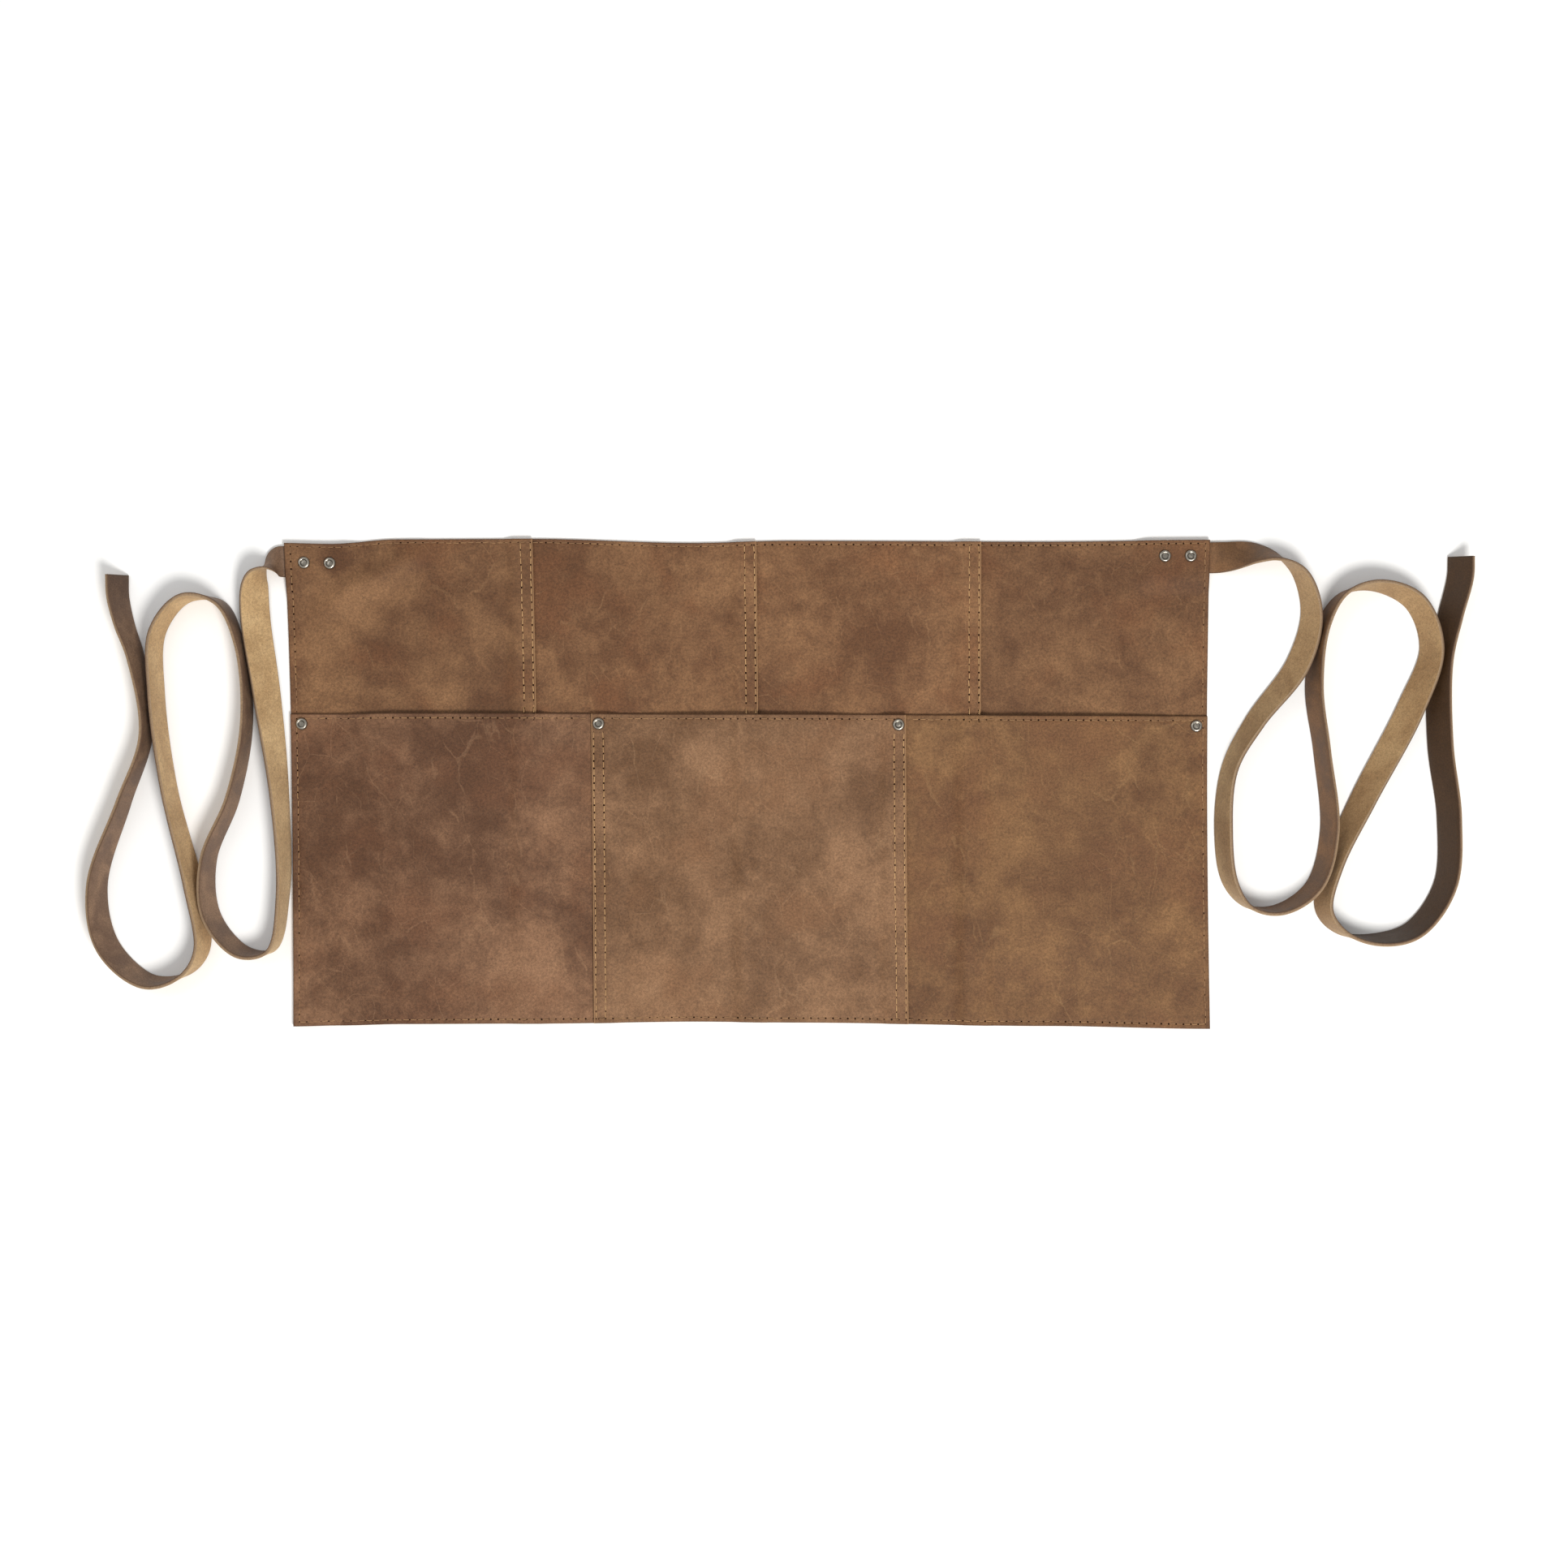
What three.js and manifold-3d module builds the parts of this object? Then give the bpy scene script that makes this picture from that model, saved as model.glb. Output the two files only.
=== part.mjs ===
// A short leather waist apron, lying flat, with three pockets, two long ties and eight rivets.
// Millimetres. The origin is the middle of the apron on the surface it lies on.
// +X is the wearer's left as seen in front, +Y points to the waist edge, +Z away from the surface.
import * as THREE from "three";
import { mergeVertices } from "three/addons/utils/BufferGeometryUtils.js";
import Module from "manifold-3d";

// The apron
const APRON_WIDTH = 611;
const APRON_HEIGHT = 320;
const POCKET_HEIGHT = 206.4;
const MOUTH_FALL = 1.6; // the mouths drop this much from the left side to the right
const LEATHER = 1.8;
const GAP = 0.3; // between pieces that lie on each other
const LAP = 11; // how far one panel runs under the next
const RAMP = 9; // length over which leather climbs onto another layer
const LINE_SPACING = 0.5; // the least distance between two lines of a panel's mesh
const LEFT_DRIFT = 6.2; // the left side leans in by this much at the bottom
const RIGHT_BOW = 1.9; // the right side is drawn in by this much half way up
const DRIFT_POWER = 2.6; // how far up the left side stays leaning
const TOP_FADE = 4; // how soon the top edge's waves fade downwards
const BOTTOM_FADE = 2; // how soon the bottom edge's waves fade upwards
const BELLY = 6.6; // how far each pocket stands open
const BELLY_START = 15; // from a pocket's side to where it begins to stand open
const BELLY_RISE = 62; // length over which it opens
const BELLY_FOOT = 12; // from the bottom edge to where it begins to stand open

// The ties
const TIE_WIDTH = 20.5;
const TIE_LEATHER = 2.4;
const TIE_TAIL = 37; // hidden behind the apron
const TIE_MARGIN = 1.5; // of lifted leather round the tail
const TIE_RAMP = 15; // length over which the apron comes down beside the tail
const TIE_STATIONS = 3; // cross-sections for each row of a route

// The rivets
const CAP_RADIUS = 4;
const CAP_HEIGHT = 1.7;
const SHANK_RADIUS = 1.5;
const BURR_RADIUS = 3.4;
const BURR_THICKNESS = 0.6;
const HOLE_CLEARANCE = 0.3;
const RIVET_SIDES = 12;
const TIE_RIVET_INSET = 12.7; // from the apron's side to the outer rivet
const TIE_RIVET_PITCH = 17;
const POCKET_RIVET_INSET = 7.4; // from the apron's side
const POCKET_RIVET_DROP = 6.6; // below the mouth edge
const SEAM_RIVET_SHARE = 0.45; // of the lap, in from the upper panel's edge

// Where each back panel ends on its right, as a share of the apron's width.
const BACK_PANELS = [
  { name: "back_panel_1", end: 0.268 },
  { name: "back_panel_2", end: 0.51 },
  { name: "back_panel_3", end: 0.753 },
  { name: "back_panel_4", end: 1 },
];

// The middle pocket panel's two edges, as shares of the apron's width.
const MIDDLE_START = 0.328;
const MIDDLE_END = 0.671;

// How the top and bottom edges wander, as shares of the apron's height.
const EDGE_WAVES = [
  { across: 0, top: -0.003, bottom: 0 },
  { across: 0.05, top: -0.005, bottom: 0.002 },
  { across: 0.12, top: 0.005, bottom: 0.005 },
  { across: 0.27, top: 0.006, bottom: 0.006 },
  { across: 0.44, top: -0.0025, bottom: 0.01 },
  { across: 0.55, top: 0.002, bottom: 0.008 },
  { across: 0.82, top: 0, bottom: 0.001 },
  { across: 1, top: 0.0035, bottom: -0.005 },
];

// Each tie's route, along the middle of the strap. out: from the apron's side, in tie widths.
// up: from the bottom edge, as a share of the apron's height. lean: degrees from standing on
// edge, 90 is flat, and the sign tells which edge is up.
const LEFT_ROUTE = [
  { out: 0.04, up: 0.959, lean: 90 },
  { out: 0.29, up: 0.957, lean: 54 },
  { out: 0.51, up: 0.949, lean: 18 },
  { out: 0.68, up: 0.938, lean: -8 },
  { out: 0.82, up: 0.924, lean: -32 },
  { out: 0.9, up: 0.907, lean: -46 },
  { out: 0.93, up: 0.886, lean: -54 },
  { out: 0.88, up: 0.83, lean: -58 },
  { out: 0.53, up: 0.688, lean: -48 },
  { out: 0.09, up: 0.472, lean: -23 },
  { out: -0.02, up: 0.272, lean: -11 },
  { out: 0.37, up: 0.158, lean: -2 },
  { out: 1.3, up: 0.155, lean: 17 },
  { out: 2.28, up: 0.228, lean: 22 },
  { out: 2.38, up: 0.343, lean: 17 },
  { out: 1.6, up: 0.47, lean: 12 },
  { out: 1.14, up: 0.629, lean: 8 },
  { out: 1.38, up: 0.787, lean: 4 },
  { out: 2.0, up: 0.871, lean: 6 },
  { out: 3.12, up: 0.882, lean: -9 },
  { out: 4.0, up: 0.815, lean: -16 },
  { out: 4.05, up: 0.69, lean: -16 },
  { out: 3.64, up: 0.492, lean: -16 },
  { out: 2.88, up: 0.295, lean: -21 },
  { out: 2.58, up: 0.16, lean: -15 },
  { out: 3.12, up: 0.109, lean: -1 },
  { out: 4.3, up: 0.094, lean: 20 },
  { out: 5.6, up: 0.165, lean: 32 },
  { out: 5.95, up: 0.29, lean: 24 },
  { out: 5.1, up: 0.46, lean: 12 },
  { out: 4.38, up: 0.6, lean: 8 },
  { out: 4.7, up: 0.757, lean: 17 },
  { out: 5.08, up: 0.83, lean: 24 },
  { out: 5.28, up: 0.885, lean: 28 },
  { out: 5.31, up: 0.93, lean: 30 },
];
const RIGHT_ROUTE = [
  { out: 0.09, up: 0.967, lean: 90 },
  { out: 0.5, up: 0.968, lean: 74 },
  { out: 1.38, up: 0.975, lean: 42 },
  { out: 2.12, up: 0.967, lean: 14 },
  { out: 2.85, up: 0.932, lean: -14 },
  { out: 3.22, up: 0.85, lean: -29 },
  { out: 2.78, up: 0.745, lean: -38 },
  { out: 1.39, up: 0.627, lean: -28 },
  { out: 0.58, up: 0.53, lean: -19 },
  { out: 0.39, up: 0.4, lean: -22 },
  { out: 0.62, up: 0.295, lean: -16 },
  { out: 1.23, up: 0.247, lean: 0 },
  { out: 2.2, up: 0.242, lean: 13 },
  { out: 3.3, up: 0.29, lean: 20 },
  { out: 3.79, up: 0.4, lean: 22 },
  { out: 3.55, up: 0.567, lean: 18 },
  { out: 3.3, up: 0.7, lean: 20 },
  { out: 3.58, up: 0.825, lean: 13 },
  { out: 4.25, up: 0.891, lean: 2 },
  { out: 5.3, up: 0.908, lean: -13 },
  { out: 6.54, up: 0.874, lean: -28 },
  { out: 7.08, up: 0.78, lean: -34 },
  { out: 6.41, up: 0.654, lean: -47 },
  { out: 4.9, up: 0.47, lean: -41 },
  { out: 3.92, up: 0.335, lean: -26 },
  { out: 3.62, up: 0.24, lean: -19 },
  { out: 4.2, up: 0.195, lean: -5 },
  { out: 5.3, up: 0.18, lean: 16 },
  { out: 6.5, up: 0.2, lean: 27 },
  { out: 7.5, up: 0.29, lean: 31 },
  { out: 7.64, up: 0.43, lean: 34 },
  { out: 7.36, up: 0.58, lean: 37 },
  { out: 7.36, up: 0.75, lean: 35 },
  { out: 7.68, up: 0.845, lean: 36 },
  { out: 8.0, up: 0.925, lean: 40 },
  { out: 8.03, up: 0.968, lean: 40 },
];
const LEAN_WEIGHT = 0.1; // millimetres for each degree, where a route is smoothed

const LAYER = LEATHER + GAP;
const wasm = await Module();
wasm.setup();

// Small helpers
const clamp = (t) => Math.min(1, Math.max(0, t));
const ease = (t) => clamp(t) ** 2 * (3 - 2 * clamp(t));

function wave(key, share) {
  const next = Math.max(
    1,
    EDGE_WAVES.findIndex((row) => row.across >= share),
  );
  const from = EDGE_WAVES[next - 1];
  const to = EDGE_WAVES[next];
  const t = ease((share - from.across) / (to.across - from.across));
  return from[key] + (to[key] - from[key]) * t;
}

// From a place on the flat leather, measured across from the left side and up from the bottom
// edge, to where that place lies.
function lay(across, up) {
  const u = across / APRON_WIDTH;
  const v = up / APRON_HEIGHT;
  const left = -APRON_WIDTH / 2 + LEFT_DRIFT * (1 - v ** DRIFT_POWER);
  const right = APRON_WIDTH / 2 - RIGHT_BOW * Math.sin(Math.PI * v);
  const waves = wave("top", u) * v ** TOP_FADE + wave("bottom", u) * (1 - v) ** BOTTOM_FADE;
  return [left + (right - left) * u, APRON_HEIGHT * (v - 0.5 + waves)];
}

const mouth = (across) => POCKET_HEIGHT - (MOUTH_FALL * across) / APRON_WIDTH;
const seamAt = (panel) => BACK_PANELS[panel].end * APRON_WIDTH;

// Heights of the leather's underside
function tailLift(route, fromSide, up) {
  const past = Math.max(0, fromSide - TIE_TAIL - TIE_MARGIN);
  const beside = Math.abs(up - route[0].up * APRON_HEIGHT);
  const off = Math.max(0, beside - TIE_WIDTH / 2 - TIE_MARGIN);
  return (TIE_LEATHER + GAP) * (1 - ease(Math.hypot(past, off) / TIE_RAMP));
}

function backUnder(panel, across, up) {
  if (panel === 3) return tailLift(RIGHT_ROUTE, APRON_WIDTH - across, up);
  const climbed = ease((across - seamAt(panel) + LAP + GAP + RAMP) / RAMP);
  const tail = panel === 0 ? tailLift(LEFT_ROUTE, across, up) : 0;
  return LAYER * climbed + tail;
}

// How high the back stands under the pockets, where its own laps are bridged smoothly.
function backTop(across) {
  const laps = [0, 1, 2].map((panel) => {
    const past = across - seamAt(panel);
    return Math.min(ease((past + LAP + GAP + RAMP) / RAMP), 1 - ease((past - GAP) / RAMP));
  });
  return LEATHER + LAYER * Math.max(...laps);
}

function belly(across, up, start, end) {
  const inwards = Math.min(across - start, end - across) - BELLY_START;
  return BELLY * ease(inwards / BELLY_RISE) * ease((up - BELLY_FOOT) / BELLY_RISE);
}

// The three pockets, each between two lines of stitches.
const startA = MIDDLE_START * APRON_WIDTH;
const endB = MIDDLE_END * APRON_WIDTH;
const pocketRuns = [
  [0, startA],
  [startA, endB],
  [endB, APRON_WIDTH],
];

function pocketUnder(across, up, run, lapRise) {
  const [start, end] = pocketRuns[run];
  return backTop(across) + GAP + lapRise + belly(across, up, start, end);
}

function middleLap(across) {
  const inwards = Math.min(across - startA, endB - across);
  return LAYER * (1 - ease((inwards - LAP - GAP) / RAMP));
}

// Geometry
function toSolid(geometry) {
  const bare = geometry.clone();
  bare.deleteAttribute("normal");
  bare.deleteAttribute("uv");
  const merged = mergeVertices(bare, 1e-4);
  return new wasm.Manifold(
    new wasm.Mesh({
      numProp: 3,
      vertProperties: merged.attributes.position.array,
      triVerts: new Uint32Array(merged.index.array),
    }),
  );
}

function toGeometry(solid) {
  const { vertProperties, triVerts } = solid.getMesh();
  const geometry = new THREE.BufferGeometry();
  geometry.setAttribute("position", new THREE.BufferAttribute(vertProperties, 3));
  geometry.setIndex(new THREE.BufferAttribute(triVerts, 1));
  geometry.computeVertexNormals();
  return geometry;
}

// A closed strip of rings with the same number of corners each, its two ends capped.
function loft(rings) {
  const sides = rings[0].length;
  const index = [];
  for (let ring = 0; ring + 1 < rings.length; ring++) {
    for (let side = 0; side < sides; side++) {
      const a = ring * sides + side;
      const b = ring * sides + ((side + 1) % sides);
      index.push(a, b, b + sides, a, b + sides, a + sides);
    }
  }
  const last = (rings.length - 1) * sides;
  for (let side = 1; side + 1 < sides; side++) {
    index.push(0, side + 1, side, last, last + side, last + side + 1);
  }
  const geometry = new THREE.BufferGeometry();
  geometry.setAttribute("position", new THREE.Float32BufferAttribute(rings.flat(2), 3));
  geometry.setIndex(index);
  return geometry;
}

// A sheet of leather over a grid of lines, with its underside at the height that under gives.
function sheet(acrossLines, upShares, topAt, under) {
  const rows = upShares.length;
  const rings = acrossLines.map((across) => {
    const places = upShares.map((share) => {
      const up = share * topAt(across);
      return [...lay(across, up), under(across, up)];
    });
    const above = places.map(([x, y, z]) => [x, y, z + LEATHER]);
    return [...places.reverse(), ...above];
  });
  const geometry = loft(rings);
  geometry.setIndex(sheetFaces(acrossLines.length, rows));
  return geometry;
}

// Faces of a sheet: its rings run down the underside and back up the top.
function sheetFaces(columns, rows) {
  const ring = 2 * rows;
  const index = [];
  const quad = (a, b, c, d) => index.push(a, b, c, a, c, d);
  for (let column = 0; column + 1 < columns; column++) {
    for (let k = 0; k < ring; k++) {
      const a = column * ring + k;
      const b = column * ring + ((k + 1) % ring);
      quad(a, a + ring, b + ring, b);
    }
  }
  const last = (columns - 1) * ring;
  for (let k = 0; k + 1 < rows; k++) {
    quad(k, k + 1, ring - 2 - k, ring - 1 - k);
    quad(last + ring - 1 - k, last + ring - 2 - k, last + k + 1, last + k);
  }
  return index;
}

const spread = (from, to, steps) =>
  Array.from({ length: steps + 1 }, (_, k) => from + ((to - from) * k) / steps);

// Sorted lines from one edge to the other, none too close to the last one.
function lines(from, to, ...groups) {
  const kept = [from];
  for (const line of groups.flat().sort((a, b) => a - b)) {
    if (line > kept.at(-1) + LINE_SPACING && line < to - LINE_SPACING) kept.push(line);
  }
  return [...kept, to];
}

// Lines where a panel climbs over a lap that ends at edge.
const climb = (edge) => spread(edge - LAP - GAP - RAMP, edge - LAP - GAP, 4);
const descend = (edge) => spread(edge + GAP, edge + GAP + RAMP, 4);

// The strap along a route, as rings of four corners.
function strap(route, side) {
  const place = ({ out, up, lean }) =>
    new THREE.Vector3(
      APRON_WIDTH / 2 + out * TIE_WIDTH,
      (up - 0.5) * APRON_HEIGHT,
      lean * LEAN_WEIGHT,
    );
  const tail = { ...route[0], out: -TIE_TAIL / TIE_WIDTH };
  const curve = new THREE.CatmullRomCurve3([tail, ...route].map(place), false, "centripetal");
  const steps = route.length * TIE_STATIONS;
  const rings = spread(0, 1, steps).map((t) => {
    const point = curve.getPoint(t);
    const along = curve.getTangent(t).setZ(0).normalize();
    const lean = THREE.MathUtils.degToRad(Math.min(90, point.z / LEAN_WEIGHT));
    const leftward = new THREE.Vector3(-along.y, along.x, 0);
    const rise = new THREE.Vector3(0, 0, Math.cos(lean)).addScaledVector(leftward, -Math.sin(lean));
    const face = rise.clone().cross(along);
    const middle = (TIE_WIDTH * Math.cos(lean) + TIE_LEATHER * Math.abs(Math.sin(lean))) / 2;
    return [
      [1, 1],
      [1, -1],
      [-1, -1],
      [-1, 1],
    ].map(([w, f]) => {
      const corner = new THREE.Vector3(point.x, point.y, middle)
        .addScaledVector(rise, (w * TIE_WIDTH) / 2)
        .addScaledVector(face, (f * TIE_LEATHER) / 2);
      return [side * corner.x, corner.y, corner.z];
    });
  });
  return loft(side < 0 ? rings.map((ring) => ring.reverse()) : rings);
}

// Rivets: where each stands, and how high the leather under its cap is.
const backLayers = (across) => backTop(across) + LAYER;
const tieStack = TIE_LEATHER + GAP + LEATHER;
const seamRivet = LAP * SEAM_RIVET_SHARE;
const rivets = [
  {
    name: "tie_rivet_left_outer",
    across: TIE_RIVET_INSET,
    up: LEFT_ROUTE[0].up * APRON_HEIGHT,
    top: tieStack,
  },
  {
    name: "tie_rivet_left_inner",
    across: TIE_RIVET_INSET + TIE_RIVET_PITCH,
    up: LEFT_ROUTE[0].up * APRON_HEIGHT,
    top: tieStack,
  },
  {
    name: "tie_rivet_right_inner",
    across: APRON_WIDTH - TIE_RIVET_INSET - TIE_RIVET_PITCH,
    up: RIGHT_ROUTE[0].up * APRON_HEIGHT,
    top: tieStack,
  },
  {
    name: "tie_rivet_right_outer",
    across: APRON_WIDTH - TIE_RIVET_INSET,
    up: RIGHT_ROUTE[0].up * APRON_HEIGHT,
    top: tieStack,
  },
  ...[
    { across: POCKET_RIVET_INSET, lap: 0 },
    { across: startA + seamRivet, lap: LAYER },
    { across: endB - seamRivet, lap: LAYER },
    { across: APRON_WIDTH - POCKET_RIVET_INSET, lap: 0 },
  ].map(({ across, lap }, k) => ({
    name: "pocket_rivet_" + (k + 1),
    across,
    up: mouth(across) - POCKET_RIVET_DROP,
    top: backLayers(across) + lap,
  })),
];

const lathe = (profile) =>
  new THREE.LatheGeometry(
    profile.map(([r, z]) => new THREE.Vector2(r, z)),
    RIVET_SIDES,
  ).rotateX(Math.PI / 2);

function rivetShape(top) {
  const cap = top + GAP;
  const burr = HOLE_CLEARANCE / 2;
  return lathe([
    [0, burr],
    [BURR_RADIUS, burr],
    [BURR_RADIUS, burr + BURR_THICKNESS],
    [SHANK_RADIUS, burr + BURR_THICKNESS],
    [SHANK_RADIUS, cap],
    [CAP_RADIUS * 0.95, cap],
    [CAP_RADIUS, cap + CAP_HEIGHT * 0.3],
    [CAP_RADIUS * 0.88, cap + CAP_HEIGHT * 0.8],
    [CAP_RADIUS * 0.7, cap + CAP_HEIGHT],
    [CAP_RADIUS * 0.52, cap + CAP_HEIGHT * 0.82],
    [0, cap + CAP_HEIGHT * 0.85],
  ]);
}

function rivetHole(top) {
  const recess = BURR_THICKNESS + HOLE_CLEARANCE * 1.5;
  return lathe([
    [0, -1],
    [BURR_RADIUS + HOLE_CLEARANCE, -1],
    [BURR_RADIUS + HOLE_CLEARANCE, recess],
    [SHANK_RADIUS + HOLE_CLEARANCE, recess],
    [SHANK_RADIUS + HOLE_CLEARANCE, top + 1],
    [0, top + 1],
  ]);
}

const holes = rivets.map(({ across, up, top }) => {
  const [x, y] = lay(across, up);
  return toSolid(rivetHole(top)).translate([x, y, 0]);
});

function pierced(geometry) {
  return toGeometry(holes.reduce((solid, hole) => solid.subtract(hole), toSolid(geometry)));
}

// Materials
const material = (color, roughness, metalness) =>
  new THREE.MeshStandardMaterial({ color, roughness, metalness });
const apronLeather = material("#856348", 0.72, 0);
const strapLeather = material("#a98660", 0.8, 0);
const nickel = material("#a5a19a", 0.38, 1);

const apron = new THREE.Group();
function add(name, geometry, finish) {
  const mesh = new THREE.Mesh(geometry, finish);
  mesh.name = name;
  apron.add(mesh);
  return mesh;
}

// Back panels
const fullHeight = () => APRON_HEIGHT;
BACK_PANELS.forEach(({ name, end }, panel) => {
  const from = panel === 0 ? 0 : seamAt(panel - 1) - LAP;
  const to = end * APRON_WIDTH;
  const route = panel === 0 ? LEFT_ROUTE : RIGHT_ROUTE;
  const tail = TIE_TAIL + TIE_MARGIN;
  const tailLines = spread(tail, tail + TIE_RAMP, 4);
  const outer = panel === 0 ? tailLines : tailLines.map((line) => APRON_WIDTH - line);
  const ends = panel === 0 || panel === 3 ? outer : [];
  const climbing = panel === 3 ? [] : climb(to);
  const across = lines(from, to, spread(from, to, 6), ends, climbing);
  const tieUp = route[0].up * APRON_HEIGHT;
  const below = tieUp - TIE_WIDTH / 2 - TIE_MARGIN;
  const besideTail = spread(below - TIE_RAMP, below, 4);
  const heights = lines(0, APRON_HEIGHT, spread(0, APRON_HEIGHT, 8), besideTail);
  const shares = heights.map((height) => height / APRON_HEIGHT);
  const under = (a, b) => backUnder(panel, a, b);
  add(name, pierced(sheet(across, shares, fullHeight, under)), apronLeather);
});

// Pocket panels
const backSteps = [0, 1, 2].flatMap((panel) => [...climb(seamAt(panel)), ...descend(seamAt(panel))]);
const pocketShares = [0, 0.06, 0.12, 0.18, 0.24, 0.3, 0.36, 0.5, 0.65, 0.8, 0.92, 1];
function pocketPanel(name, from, to, run, lapRise, extra) {
  const steps = backSteps.filter((line) => line > from && line < to);
  const [start, end] = pocketRuns[run];
  const bulge = [
    ...spread(start + BELLY_START, start + BELLY_START + BELLY_RISE, 5),
    ...spread(end - BELLY_START - BELLY_RISE, end - BELLY_START, 5),
  ];
  const across = lines(from, to, steps, bulge, extra);
  const under = (a, b) => pocketUnder(a, b, run, lapRise(a));
  add(name, pierced(sheet(across, pocketShares, mouth, under)), apronLeather);
}
const noLap = () => 0;
pocketPanel("pocket_panel_left", 0, startA + LAP, 0, noLap, [startA]);
pocketPanel("pocket_panel_middle", startA, endB, 1, middleLap, [
  ...spread(startA + LAP + GAP, startA + LAP + GAP + RAMP, 4),
  ...spread(endB - LAP - GAP - RAMP, endB - LAP - GAP, 4),
]);
pocketPanel("pocket_panel_right", endB - LAP, APRON_WIDTH, 2, noLap, [endB]);

// Ties
add("tie_left", pierced(strap(LEFT_ROUTE, -1)), strapLeather);
add("tie_right", pierced(strap(RIGHT_ROUTE, 1)), strapLeather);

// Rivets
rivets.forEach(({ name, across, up, top }) => {
  const [x, y] = lay(across, up);
  add(name, rivetShape(top), nickel).position.set(x, y, 0);
});

export default apron;
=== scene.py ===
"""A short leather waist apron with three pockets, lying flat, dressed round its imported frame.

Metres, in the frame of the CAD model: the origin is under the middle of the apron, +X to the right in
front view, +Y to the waist edge, +Z up. Places on the leather are given as on the cut pieces: across
from the left side, and up from the bottom edge.
"""

import math

import bpy
import numpy as np
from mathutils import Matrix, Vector


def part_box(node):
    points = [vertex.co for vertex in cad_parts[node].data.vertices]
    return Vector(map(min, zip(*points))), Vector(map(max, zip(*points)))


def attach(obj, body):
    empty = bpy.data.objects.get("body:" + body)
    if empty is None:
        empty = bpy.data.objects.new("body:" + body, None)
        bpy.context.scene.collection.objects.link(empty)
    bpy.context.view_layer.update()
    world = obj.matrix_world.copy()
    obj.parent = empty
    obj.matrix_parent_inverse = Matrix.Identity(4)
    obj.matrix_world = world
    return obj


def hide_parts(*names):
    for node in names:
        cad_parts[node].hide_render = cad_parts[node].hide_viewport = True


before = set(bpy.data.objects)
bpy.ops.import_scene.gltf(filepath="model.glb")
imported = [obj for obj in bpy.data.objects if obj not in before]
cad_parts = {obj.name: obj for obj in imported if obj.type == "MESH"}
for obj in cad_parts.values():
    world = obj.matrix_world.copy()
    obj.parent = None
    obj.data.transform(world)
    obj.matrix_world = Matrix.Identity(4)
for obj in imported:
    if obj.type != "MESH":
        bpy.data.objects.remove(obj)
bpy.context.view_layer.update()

MM = 0.001

# The apron, as in the CAD model
WIDTH = 0.611
HEIGHT = 0.320
POCKET_HEIGHT = 0.2064
MOUTH_FALL = 0.0016
LEATHER = 0.0018
GAP = 0.0003
LAYER = LEATHER + GAP
LAP = 0.011
RAMP = 0.009
LEFT_DRIFT = 0.0062
RIGHT_BOW = 0.0019
DRIFT_POWER = 2.6
TOP_FADE = 4
BOTTOM_FADE = 2
BELLY = 0.0023  # less than the CAD's, which keeps the pockets open for use: the photo shows them shut
BELLY_START = 0.015
BELLY_RISE = 0.062
BELLY_FOOT = 0.012
SEAMS = [0.268 * WIDTH, 0.51 * WIDTH, 0.753 * WIDTH]
MIDDLE_START = 0.328 * WIDTH
MIDDLE_END = 0.671 * WIDTH
EDGE_WAVES = [
    {"across": 0, "top": -0.003, "bottom": 0},
    {"across": 0.05, "top": -0.005, "bottom": 0.002},
    {"across": 0.12, "top": 0.005, "bottom": 0.005},
    {"across": 0.27, "top": 0.006, "bottom": 0.006},
    {"across": 0.44, "top": -0.0025, "bottom": 0.01},
    {"across": 0.55, "top": 0.002, "bottom": 0.008},
    {"across": 0.82, "top": 0, "bottom": 0.001},
    {"across": 1, "top": 0.0035, "bottom": -0.005},
]

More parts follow.
